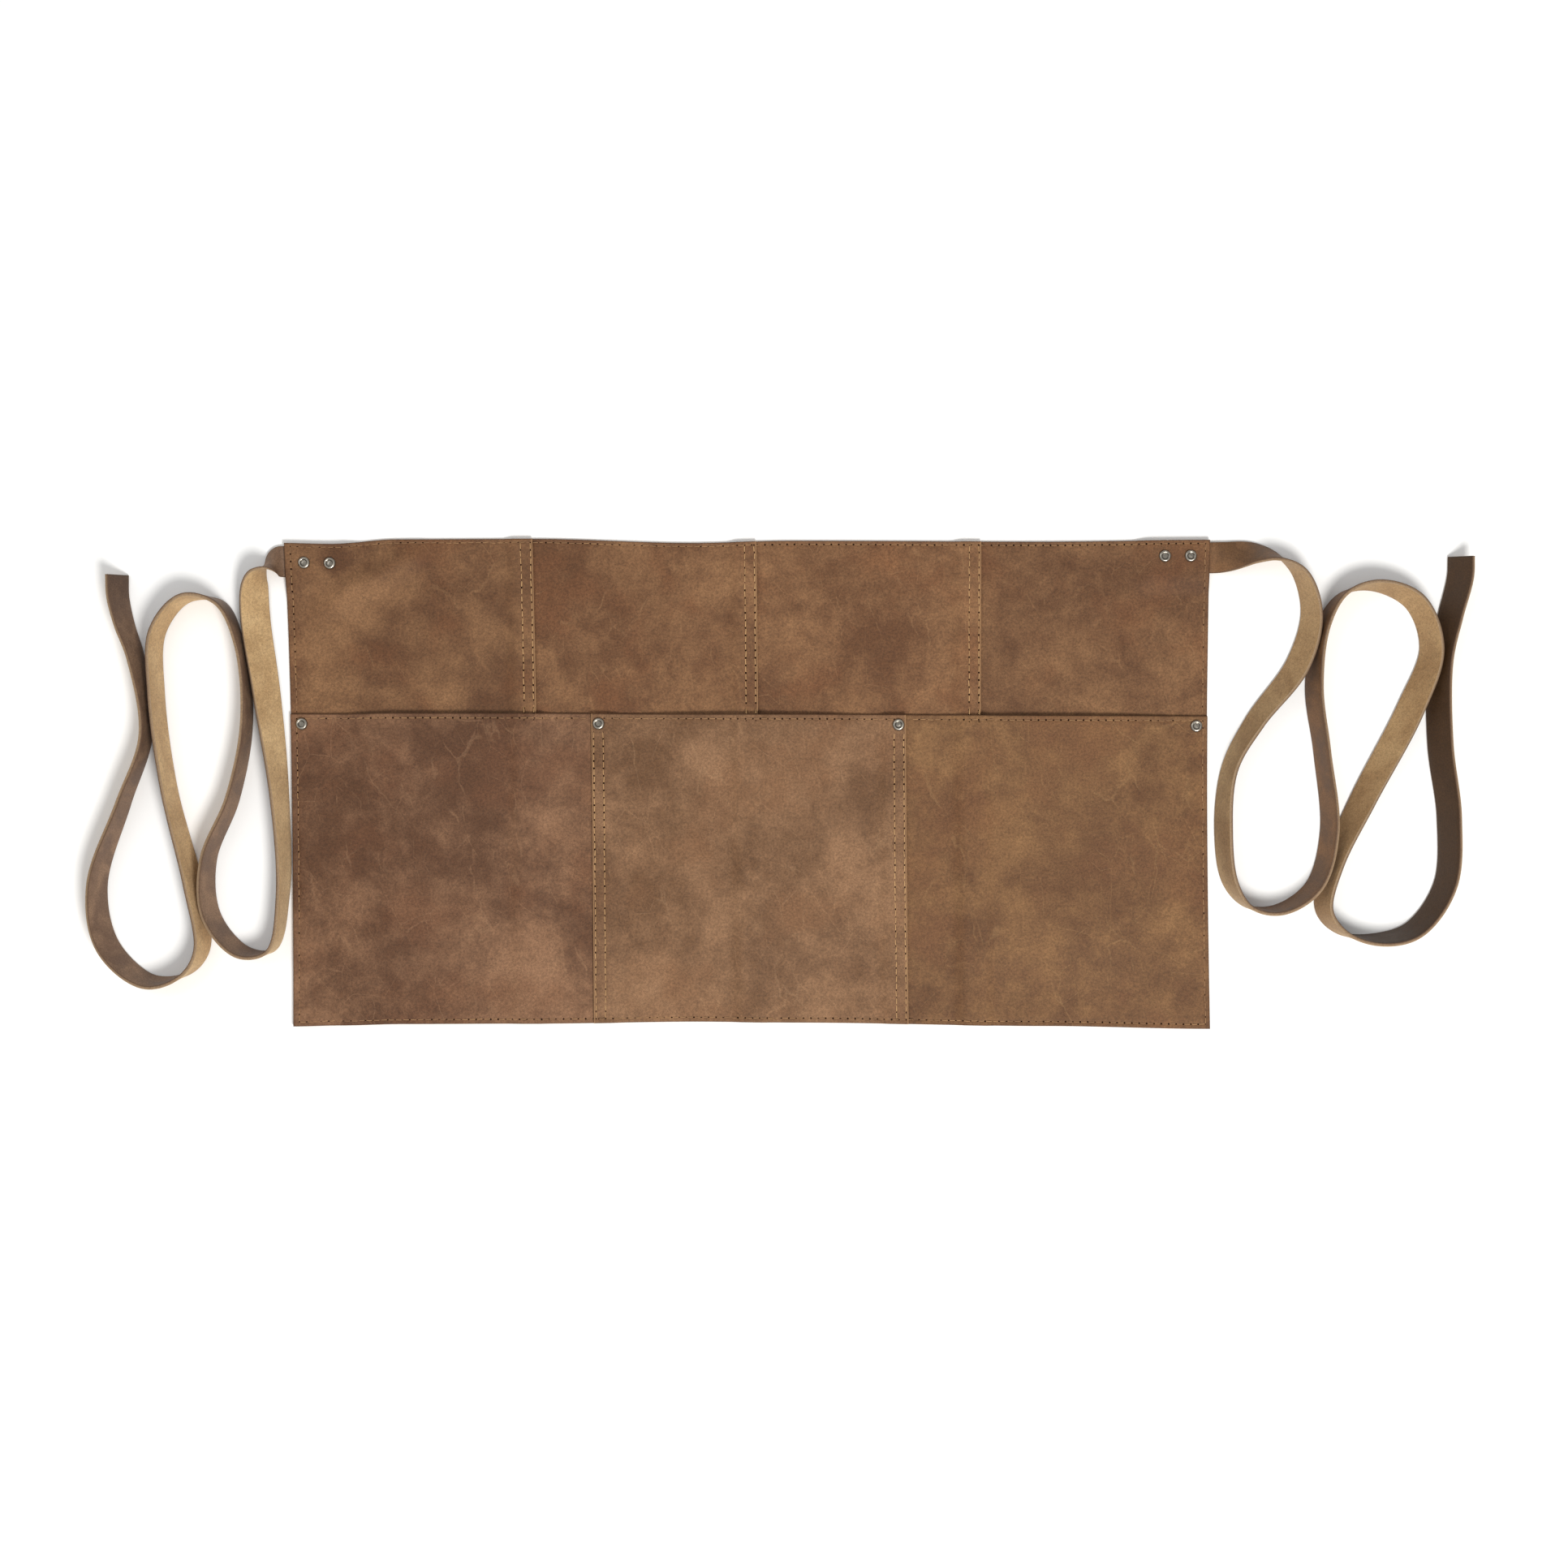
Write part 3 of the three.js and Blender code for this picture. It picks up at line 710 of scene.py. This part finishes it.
def strap_grain(name, offset, pale, deep, oiled):
    """The grain side of a tie: smooth and waxed, with fine pores and a few scuffs."""
    paint = Paint(name)
    where = paint.place(offset)
    scuff = paint.noise(where, 45, 6, 0.6, 0.6)
    pore = paint.noise(where, 1100, 4, 0.65)
    color = paint.mix(paint.between(scuff, 0.36, 0.68), linear(*deep), linear(*pale))
    color = paint.mix(paint.attribute("shade"), color, linear(*oiled))
    color = paint.vector("SCALE", color, scale=paint.between(pore, 0.34, 0.66, 0.78, 1.2))
    return paint.finish(
        Base_Color=color,
        Roughness=paint.between(scuff, 0.3, 0.7, 0.5, 0.66),
        Normal=paint.bump(pore * 0.6 + scuff * 0.5, 0.4, 0.0005),
        Specular_IOR_Level=0.35,
    )


def cut_edge(name, grain_side, core, flesh_side):
    """A cut edge: dyed at the grain side, paler through to the flesh side, with pressed fibres."""
    paint = Paint(name)
    fibre = paint.noise(paint.place(scale=(1, 1, 6)), 900, 4, 0.7)
    patch = paint.noise(paint.place(), 90, 4, 0.6)
    through = paint.attribute("through") + patch * 0.3 - 0.15
    color = paint.mix(paint.between(through, 0.05, 0.5), linear(*grain_side), linear(*core))
    color = paint.mix(paint.between(through, 0.5, 0.95), color, linear(*flesh_side))
    color = paint.vector("SCALE", color, scale=paint.between(fibre, 0.32, 0.68, 0.78, 1.18))
    return paint.finish(
        Base_Color=color,
        Roughness=0.85,
        Normal=paint.bump(fibre, 0.5, 0.0003),
        Specular_IOR_Level=0.2,
    )


def waxed_thread(name, deep, pale):
    paint = Paint(name)
    where = paint.place()
    twist = paint.noise(where, 2600, 3, 0.6)
    tone = paint.noise(where, 60, 3, 0.5)
    color = paint.mix(paint.between(tone, 0.35, 0.65), linear(*deep), linear(*pale))
    color = paint.mix(paint.between(twist, 0.52, 0.72, 0, 0.5), color, linear(116, 84, 56))
    return paint.finish(Base_Color=color, Roughness=0.75, Normal=paint.bump(twist, 0.4, 0.0001))


# Painted shade: flat dark discs laid over the stitch holes stand in for the shade inside them.
def painted_hole_shade():
    paint = Paint("painted_hole_shade")
    depth = paint.noise(paint.place(), 900, 2, 0.5)
    color = paint.mix(paint.between(depth, 0.3, 0.7), linear(26, 15, 9), linear(48, 31, 20))
    return paint.finish(Base_Color=color, Roughness=1.0, Specular_IOR_Level=0.0)


def aged_nickel():
    paint = Paint("aged_nickel")
    where = paint.place()
    grime = paint.noise(where, 460, 5, 0.65, 0.3)
    pit = paint.noise(where, 1500, 4, 0.6)
    # Painted shade from the cap's profile: dark under the rim and down its side, and dark in the groove
    # round the centre.
    color = paint.mix(paint.attribute("shade"), linear(172, 165, 153), linear(58, 52, 45))
    color = paint.mix(paint.between(grime, 0.5, 0.7, 0, 0.5), color, linear(82, 76, 68))
    return paint.finish(
        Base_Color=color,
        Metallic=1.0,
        Roughness=paint.between(grime, 0.3, 0.7, 0.2, 0.36),
        Normal=paint.bump(pit * 0.6 + grime * 0.4, 0.1, 0.0002),
    )


def pale_floor():
    paint = Paint("pale_floor")
    tone = paint.noise(paint.place(), 3, 3, 0.5)
    color = paint.mix(tone, linear(248, 248, 247), linear(251, 251, 250))
    return paint.finish(Base_Color=color, Roughness=0.9, Specular_IOR_Level=0.1)


BACK_LEVELS = (0.85, 0.94, 0.98, 0.84)
RAW_BORDER = (158, 122, 86)
BURNT_BORDER = (74, 48, 32)
BACK_TONE = {"dark": (95, 62, 37), "light": (142, 104, 71), "red": (115, 73, 44), "vein": (154, 116, 80)}
LEFT_TONE = {"dark": (85, 55, 34), "light": (138, 102, 75), "red": (105, 68, 44), "vein": (150, 114, 84)}
MIDDLE_TONE = {"dark": (101, 70, 44), "light": (146, 110, 80), "red": (122, 84, 55), "vein": (160, 124, 91)}
RIGHT_TONE = {"dark": (96, 64, 38), "light": (138, 102, 67), "red": (114, 76, 48), "vein": (152, 117, 78)}

flesh = flesh_leather("apron_flesh", (3.1, 1.2, 0), (176, 140, 102), (146, 110, 76))
apron_edge = cut_edge("apron_cut_edge", (116, 84, 60), (150, 116, 84), (168, 134, 98))

# Pieces


def own(piece, slot, *nodes):
    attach(piece, "root")
    if nodes:
        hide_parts(*nodes)


def relief(height, length, seed, *ridges):
    """A function that gives how far a piece of leather lifts at a place."""

    def lift(x, y):
        value = height * ripple(x, y, length, seed)
        for ridge in ridges:
            value = value + swell(x, y, *ridge)
        return value

    return lift


BACK_RELIEF = [
    relief(0.2 * MM, 0.09, 11, ((-0.275, 0.119), (-0.222, 0.150), 0.008, 4.6 * MM)),
    relief(0.2 * MM, 0.09, 11),
    relief(0.2 * MM, 0.09, 11),
    relief(0.2 * MM, 0.09, 11),
]
POCKET_RELIEF = {name: relief(0.25 * MM, 0.08, 5 + k) for k, name in enumerate(POCKET_RUNS)}


def whole_height(across):
    return HEIGHT + 0 * across


def make_back():
    starts = [0, *[seam - LAP for seam in SEAMS]]
    ends = [*SEAMS, WIDTH]
    for panel, (start, end) in enumerate(zip(starts, ends)):
        name = f"back_panel_{panel + 1}"
        offset = (panel * 0.73, panel * 1.37, 0)
        grain = grain_leather(f"back_grain_{panel + 1}", offset, BACK_TONE, BACK_LEVELS[panel])
        made = leather_sheet(
            name,
            start,
            end,
            whole_height,
            lambda a, u, panel=panel: back_under(panel, a, u),
            BACK_RELIEF[panel],
            [grain, flesh, apron_edge],
            (0, panel < 3),
        )
        own(made, "apron_leather", name)
        end - start


def make_pockets():
    spans = {
        "left": (0, MIDDLE_START + LAP, LEFT_TONE, 0.96, ["back_panel_1", "back_panel_2"]),
        "middle": (MIDDLE_START, MIDDLE_END, MIDDLE_TONE, 0.91, ["back_panel_2", "back_panel_3"]),
        "right": (MIDDLE_END - LAP, WIDTH, RIGHT_TONE, 0.93, ["back_panel_3", "back_panel_4"]),
    }
    for pocket, (start, end, tone, level, below) in spans.items():
        offset = (len(pocket) * 0.61, len(pocket) * 0.37, 0.5)
        grain = grain_leather(f"pocket_grain_{pocket}", offset, tone, level)
        made = leather_sheet(
            f"pocket_{pocket}",
            start,
            end,
            mouth,
            lambda a, u, pocket=pocket: pocket_under(pocket, a, u),
            POCKET_RELIEF[pocket],
            [grain, flesh, apron_edge],
            (pocket == "middle", pocket == "middle"),
        )
        own(made, "apron_leather", f"pocket_panel_{pocket}")


# Ties


def smooth_route(points, steps):
    """Points on the centripetal curve through a list of points."""
    points = np.asarray(points, float)
    first = 2 * points[0] - points[1]
    last = 2 * points[-1] - points[-2]
    full = np.vstack([first, points, last])
    made = []
    for at in np.linspace(0, len(points) - 1, steps):
        k = min(int(at), len(points) - 2)
        t = at - k
        p0, p1, p2, p3 = full[k : k + 4]
        d0, d1, d2 = (math.sqrt(np.linalg.norm(b - a)) for a, b in ((p0, p1), (p1, p2), (p2, p3)))
        m1 = ((p1 - p0) / d0 - (p2 - p0) / (d0 + d1) + (p2 - p1) / d1) * d1
        m2 = ((p2 - p1) / d1 - (p3 - p1) / (d1 + d2) + (p3 - p2) / d2) * d1
        c2 = -3 * p1 + 3 * p2 - 2 * m1 - m2
        c3 = 2 * p1 - 2 * p2 + m1 + m2
        made.append(p1 + m1 * t + c2 * t * t + c3 * t**3)
    return np.array(made)


def strap_section():
    """Half-width and half-thickness shares round a strap's section, with its side of the strap."""
    corner = TIE_CORNER
    half, thick = TIE_WIDTH / 2, TIE_LEATHER / 2
    turns = [math.radians(d) for d in (0, 30, 60, 90)]
    section = []
    for w_sign, f_sign, flip in ((1, 1, False), (-1, 1, True), (-1, -1, False), (1, -1, True)):
        arc = [
            (
                w_sign * (half - corner + corner * math.cos(t)),
                f_sign * (thick - corner + corner * math.sin(t)),
            )
            for t in turns
        ]
        section += arc[::-1] if flip else arc
    flats = []
    for k, (w, f) in enumerate(section):
        flats.append((w, f))
        w2, _ = section[(k + 1) % len(section)]
        if abs(w - w2) > half:
            flats += [(w + (w2 - w) * s / 6, f) for s in range(1, 6)]
    return flats


def make_tie(name, route, side, finishes, oiled):
    """A strap on edge along its route. oiled: from which share of it, how gradually, and how much."""
    rows = [{**route[0], "out": -TIE_TAIL / TIE_WIDTH}, *route]
    points = [
        (WIDTH / 2 + r["out"] * TIE_WIDTH, (r["up"] - 0.5) * HEIGHT, r["lean"] * LEAN_WEIGHT) for r in rows
    ]
    steps = RINGS_PER_ROW * len(rows)
    route_points = smooth_route(points, steps)
    along = np.gradient(route_points[:, :2], axis=0)
    along /= np.linalg.norm(along, axis=1)[:, None]
    lean = np.radians(np.minimum(90, route_points[:, 2] / LEAN_WEIGHT))
    section = strap_section()
    rings = []
    for (x, y, _), (ax, ay), tilt in zip(route_points, along, lean):
        leftward = np.array([-ay, ax, 0])
        rise = np.array([0, 0, math.cos(tilt)]) - leftward * math.sin(tilt)
        face = np.cross(rise, [ax, ay, 0])
        middle = (TIE_WIDTH * math.cos(tilt) + TIE_LEATHER * abs(math.sin(tilt))) / 2
        centre = np.array([x, y, middle])
        rings.append([centre + rise * w + face * f for w, f in section])
    rings = np.array(rings)
    rings[:, :, 0] *= side
    count = len(section)
    points = rings.reshape(-1, 3)
    faces, finish = [], []
    for ring in range(steps - 1):
        for k in range(count):
            a = ring * count + k
            b = ring * count + (k + 1) % count
            quad = (a, b, b + count, a + count)
            faces.append(quad if side > 0 else quad[::-1])
            flat = section[k][1] == section[(k + 1) % count][1]
            finish.append(2 if not flat else 0 if section[k][1] < 0 else 1)
    ends = [list(range(count)), list(range((steps - 1) * count, steps * count))]
    for ring, order in zip(ends, (-1, 1)):
        faces.append(tuple(ring[:: order * side]))
        finish.append(2)
    made = mesh_object(f"leather_{name}", points, faces, finishes, finish)
    mark(made, "through", np.tile([0.5 - f / TIE_LEATHER for _, f in section], steps))
    begins, over, most = oiled
    shade = most * ease((np.linspace(0, 1, steps) - begins) / over)
    mark(made, "shade", np.repeat(shade, count))
    own(made, "tie_leather", name)


def make_ties():
    edge = cut_edge("tie_cut_edge", (98, 76, 60), (138, 114, 89), (154, 130, 103))
    left = flesh_leather("tie_flesh_left", (0.3, 2.2, 0), (196, 165, 121), (163, 131, 91))
    right = flesh_leather("tie_flesh_right", (1.3, 0.2, 0), (168, 137, 96), (140, 108, 71))
    left_grain = strap_grain("tie_grain_left", (0.9, 0.4, 0), (134, 106, 83), (104, 79, 61), (60, 40, 27))
    right_grain = strap_grain("tie_grain_right", (2.9, 1.4, 0), (122, 87, 56), (93, 64, 38), (57, 37, 17))
    make_tie("tie_left", LEFT_ROUTE, -1, [left, left_grain, edge], (0.93, 0.06, 0.7))
    make_tie("tie_right", RIGHT_ROUTE, 1, [right, right_grain, edge], (0.62, 0.16, 0.9))


# Rivets

CAP_RADIUS = 4.0 * MM
CAP_HEIGHT = 1.7 * MM
SHANK_RADIUS = 1.5 * MM
BURR_RADIUS = 3.4 * MM
BURR_THICKNESS = 0.6 * MM
RIVET_SIDES = 40
# Shares of the cap's radius and height, from the rim's underside in to the middle, and how dark it is
# painted
# there: painted shade under the rim and down its outer side, and dark again in the groove round the centre.
CAP_PROFILE = [
    (0.94, 0.0, 1.0),
    (0.985, 0.08, 1.0),
    (1.0, 0.22, 0.8),
    (0.985, 0.4, 0.5),
    (0.94, 0.62, 0.2),
    (0.87, 0.82, 0.05),
    (0.78, 0.95, 0.0),
    (0.7, 1.0, 0.0),
    (0.62, 0.97, 0.15),
    (0.56, 0.88, 0.8),
    (0.52, 0.8, 1.0),
    (0.44, 0.77, 0.6),
    (0.3, 0.79, 0.25),
    (0.15, 0.82, 0.25),
]


def make_rivet(node, metal, seed):
    low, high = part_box(node)
    x, y = (low[0] + high[0]) / 2, (low[1] + high[1]) / 2
    cap = high[2] - CAP_HEIGHT
    draw = np.random.default_rng(seed)
    dent = draw.uniform(0, 2 * math.pi)
    stem = [
        (BURR_RADIUS, low[2], 0.5),
        (BURR_RADIUS, low[2] + BURR_THICKNESS, 0.5),
        (SHANK_RADIUS, low[2] + BURR_THICKNESS, 0.5),
        (SHANK_RADIUS, cap, 0.5),
    ]
    profile = stem + [(r * CAP_RADIUS, cap + h * CAP_HEIGHT, dark) for r, h, dark in CAP_PROFILE]
    points = [(x, y, low[2])]
    for radius, height, _ in profile:
        for k in range(RIVET_SIDES):
            angle = 2 * math.pi * k / RIVET_SIDES
            drop = 0.05 * CAP_HEIGHT * math.cos(angle - dent) * (height > cap + 0.5 * CAP_HEIGHT)
            out_x, out_y = radius * math.cos(angle), radius * math.sin(angle)
            points.append((x + out_x, y + out_y, height - abs(drop)))
    points.append((x, y, cap + 0.83 * CAP_HEIGHT))
    faces = []
    for row in range(len(profile) - 1):
        for k in range(RIVET_SIDES):
            a = 1 + row * RIVET_SIDES + k
            b = 1 + row * RIVET_SIDES + (k + 1) % RIVET_SIDES
            faces.append((a, b, b + RIVET_SIDES, a + RIVET_SIDES))
    last = 1 + (len(profile) - 1) * RIVET_SIDES
    for k in range(RIVET_SIDES):
        after = (k + 1) % RIVET_SIDES
        faces.append((0, 1 + after, 1 + k))
        faces.append((last + k, last + after, len(points) - 1))
    made = mesh_object(f"metal_{node}", points, faces, [metal])
    rim_shade_and_groove_dark = np.repeat([dark for _, _, dark in profile], RIVET_SIDES)
    mark(made, "shade", [profile[0][2], *rim_shade_and_groove_dark, profile[-1][2]])
    own(made, "rivet_metal", node)


def make_rivets():
    metal = aged_nickel()
    for seed, node in enumerate(sorted(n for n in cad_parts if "rivet" in n)):
        make_rivet(node, metal, seed)


# Stitches, as Geometry Nodes


class Tree:
    """A Geometry Nodes tree that is being built."""

    def __init__(self, name, inputs):
        self.group = bpy.data.node_groups.new(name, "GeometryNodeTree")
        interface = self.group.interface
        interface.new_socket("Geometry", in_out="INPUT", socket_type="NodeSocketGeometry")
        for label, kind in inputs.items():
            interface.new_socket(label, in_out="INPUT", socket_type=kind)
        interface.new_socket("Geometry", in_out="OUTPUT", socket_type="NodeSocketGeometry")
        self.start = self.group.nodes.new("NodeGroupInput")
        self.end = self.group.nodes.new("NodeGroupOutput")

    def node(self, kind, settings, sockets, out=0):
        made = self.group.nodes.new(kind)
        for key, value in settings.items():
            setattr(made, key, value)
        for key, value in sockets.items():
            socket = made.inputs[key]
            if isinstance(value, bpy.types.NodeSocket):
                self.group.links.new(value, socket)
            else:
                socket.default_value = value
        return made.outputs[out]

    def math(self, operation, first, second):
        return self.node("ShaderNodeMath", {"operation": operation}, {0: first, 1: second})

    def vector(self, x, y, z):
        return self.node("ShaderNodeCombineXYZ", {}, {"X": x, "Y": y, "Z": z})


def stitch_tree():
    inputs = {
        "Pitch": "NodeSocketFloat",
        "Thread Radius": "NodeSocketFloat",
        "Hole Radius": "NodeSocketFloat",
        "Seed": "NodeSocketInt",
        "Thread": "NodeSocketMaterial",
        "Hole": "NodeSocketMaterial",
    }
    tree = Tree("sewn_line", inputs)
    given = tree.start.outputs
    pitch, radius = given["Pitch"], given["Thread Radius"]
    curve = tree.node("GeometryNodeMeshToCurve", {}, {"Mesh": given["Geometry"]})
    spaced = tree.node(
        "GeometryNodeResampleCurve", {"mode": "LENGTH"}, {"Curve": curve, "Length": pitch}
    )
    last = tree.node("GeometryNodeCurveEndpointSelection", {}, {"Start Size": 0, "End Size": 1})
    begins = tree.node("FunctionNodeBooleanMath", {"operation": "NOT"}, {0: last})
    tangent = tree.node("GeometryNodeInputTangent", {}, {})
    turned = tree.node("FunctionNodeAlignRotationToVector", {"axis": "X"}, {"Vector": tangent})
    upright = tree.node(
        "FunctionNodeAlignRotationToVector",
        {"axis": "Z", "pivot_axis": "X"},
        {"Rotation": turned, "Vector": (0, 0, 1)},
    )
    wobble = tree.node(
        "FunctionNodeRandomValue",
        {"data_type": "FLOAT_VECTOR"},
        {"Min": (-0.15, -0.02, -0.09), "Max": (0.15, 0.02, 0.09), "Seed": given["Seed"]},
    )
    jitter = tree.node("FunctionNodeEulerToRotation", {}, {0: wobble})
    rotation = tree.node(
        "FunctionNodeRotateRotation",
        {"rotation_space": "LOCAL"},
        {"Rotation": upright, "Rotate By": jitter},
    )
    depth = tree.math("MULTIPLY", radius, -1.3)
    start = tree.vector(tree.math("MULTIPLY", pitch, 0.07), 0, depth)
    middle = tree.vector(tree.math("MULTIPLY", pitch, 0.5), 0, tree.math("MULTIPLY", radius, 2.1))
    end = tree.vector(tree.math("MULTIPLY", pitch, 0.93), 0, depth)
    arc = tree.node(
        "GeometryNodeCurveQuadraticBezier",
        {},
        {"Resolution": 7, "Start": start, "Middle": middle, "End": end},
    )
    round_section = tree.node(
        "GeometryNodeCurvePrimitiveCircle", {}, {"Resolution": 7, "Radius": radius}
    )
    stitch = tree.node(
        "GeometryNodeCurveToMesh",
        {},
        {"Curve": arc, "Profile Curve": round_section, "Fill Caps": True},
    )
    stitches = tree.node(
        "GeometryNodeInstanceOnPoints",
        {},
        {"Points": spaced, "Selection": begins, "Instance": stitch, "Rotation": rotation},
    )
    thread = tree.node(
        "GeometryNodeSetMaterial",
        {},
        {
            "Geometry": tree.node("GeometryNodeRealizeInstances", {}, {"Geometry": stitches}),
            "Material": given["Thread"],
        },
    )
    # Dark discs at the stitch holes: painted shade in place of the holes themselves.
    disc = tree.node(
        "GeometryNodeMeshCircle",
        {"fill_type": "NGON"},
        {"Vertices": 9, "Radius": given["Hole Radius"]},
    )
    holes = tree.node(
        "GeometryNodeInstanceOnPoints",
        {},
        {"Points": spaced, "Instance": disc, "Rotation": upright},
    )
    dark = tree.node(
        "GeometryNodeSetMaterial",
        {},
        {
            "Geometry": tree.node("GeometryNodeRealizeInstances", {}, {"Geometry": holes}),
            "Material": given["Hole"],
        },
    )
    joined = tree.group.nodes.new("GeometryNodeJoinGeometry")
    tree.group.links.new(thread, joined.inputs[0])
    tree.group.links.new(dark, joined.inputs[0])
    tree.group.links.new(joined.outputs[0], tree.end.inputs[0])
    return tree.group


def line_path(kind):
    """The middles of all sewn lines of one kind, just above the leather."""
    points, edges = [], []
    for label, (a0, u0), (a1, u1) in LINES:
        if label != kind:
            continue
        length = math.hypot(a1 - a0, u1 - u0)
        t = np.linspace(0, 1, max(2, round(length / PATH_STEP)))
        x, y, z = surface(a0 + (a1 - a0) * t, u0 + (u1 - u0) * t)
        first = len(points)
        points += list(zip(x, y, z + STITCH_LIFT))
        edges += [(first + k, first + k + 1) for k in range(len(t) - 1)]
    return points, edges


def make_stitches():
    seam_thread = waxed_thread("seam_thread", (172, 134, 90), (200, 160, 110))
    border_thread = waxed_thread("border_thread", (134, 100, 68), (162, 124, 84))
    hole_shade = painted_hole_shade()
    group = stitch_tree()
    values = {
        "Pitch": STITCH_PITCH,
        "Thread Radius": THREAD_RADIUS,
        "Hole Radius": HOLE_RADIUS,
        "Seed": STITCH_SEED,
        "Thread": seam_thread,
        "Hole": hole_shade,
    }
    sockets = {
        item.name: item.identifier for item in group.interface.items_tree if item.in_out == "INPUT"
    }
    for kind in sorted({label for label, _, _ in LINES}):
        points, edges = line_path(kind)
        mesh = bpy.data.meshes.new(f"sewn_path_{kind}")
        mesh.from_pydata(points, edges, [])
        path = bpy.data.objects.new(f"sewn_path_{kind}", mesh)
        bpy.context.scene.collection.objects.link(path)
        modifier = path.modifiers.new("sewing", "NODES")
        modifier.node_group = group
        values["Thread"] = seam_thread if "seam" in kind else border_thread
        for label, value in values.items():
            modifier[sockets[label]] = value
        shaped = path.evaluated_get(bpy.context.evaluated_depsgraph_get())
        sewn = bpy.data.meshes.new_from_object(shaped)
        bpy.data.objects.remove(path)
        made = bpy.data.objects.new(f"stitches_{kind}", sewn)
        bpy.context.scene.collection.objects.link(made)
        sewn.polygons.foreach_set("use_smooth", np.full(len(sewn.polygons), True))
        own(made, "thread")


# Stage, camera and lights

CAMERA_HEIGHT = 1.9
FIELD = 1.0365  # of the photograph, across at the surface
FIELD_MIDDLE = 0.0244  # how far the photograph's middle lies to the right of the apron's
SENSOR = 36.0
FLOOR_SIDE = 6.0
FLOOR_DROP = 0.05 * MM


def make_stage():
    bpy.ops.mesh.primitive_plane_add(size=FLOOR_SIDE, location=(0, 0, -FLOOR_DROP))
    floor = bpy.context.object
    floor.name = "floor"
    floor.data.materials.append(pale_floor())
    data = bpy.data.cameras.new("camera")
    data.sensor_width = SENSOR
    data.lens = SENSOR * CAMERA_HEIGHT / FIELD
    camera = bpy.data.objects.new("camera", data)
    camera.location = (FIELD_MIDDLE, 0, CAMERA_HEIGHT)
    bpy.context.scene.collection.objects.link(camera)
    bpy.context.scene.camera = camera


def area_light(name, place, target, side, power, color):
    data = bpy.data.lights.new(name, "AREA")
    data.shape = "DISK"
    data.size = side
    data.energy = power
    data.color = color
    light = bpy.data.objects.new(name, data)
    light.location = place
    light.rotation_euler = (Vector(target) - Vector(place)).to_track_quat("-Z", "Y").to_euler()
    bpy.context.scene.collection.objects.link(light)


def make_lights():
    area_light("key", (0.6, -1.1, 2.0), (0, 0, 0), 0.8, 46, (1.0, 0.985, 0.96))
    area_light("fill", (-1.4, 0.8, 1.8), (0, 0, 0), 1.6, 10, (0.97, 0.985, 1.0))
    world = bpy.data.worlds.new("studio")
    world.use_nodes = True
    background = world.node_tree.nodes["Background"]
    background.inputs["Color"].default_value = (1, 1, 1, 1)
    background.inputs["Strength"].default_value = 0.5
    bpy.context.scene.world = world
    bpy.context.scene.view_settings.view_transform = "Standard"


make_back()
make_pockets()
make_ties()
make_rivets()
make_stitches()
make_stage()
make_lights()
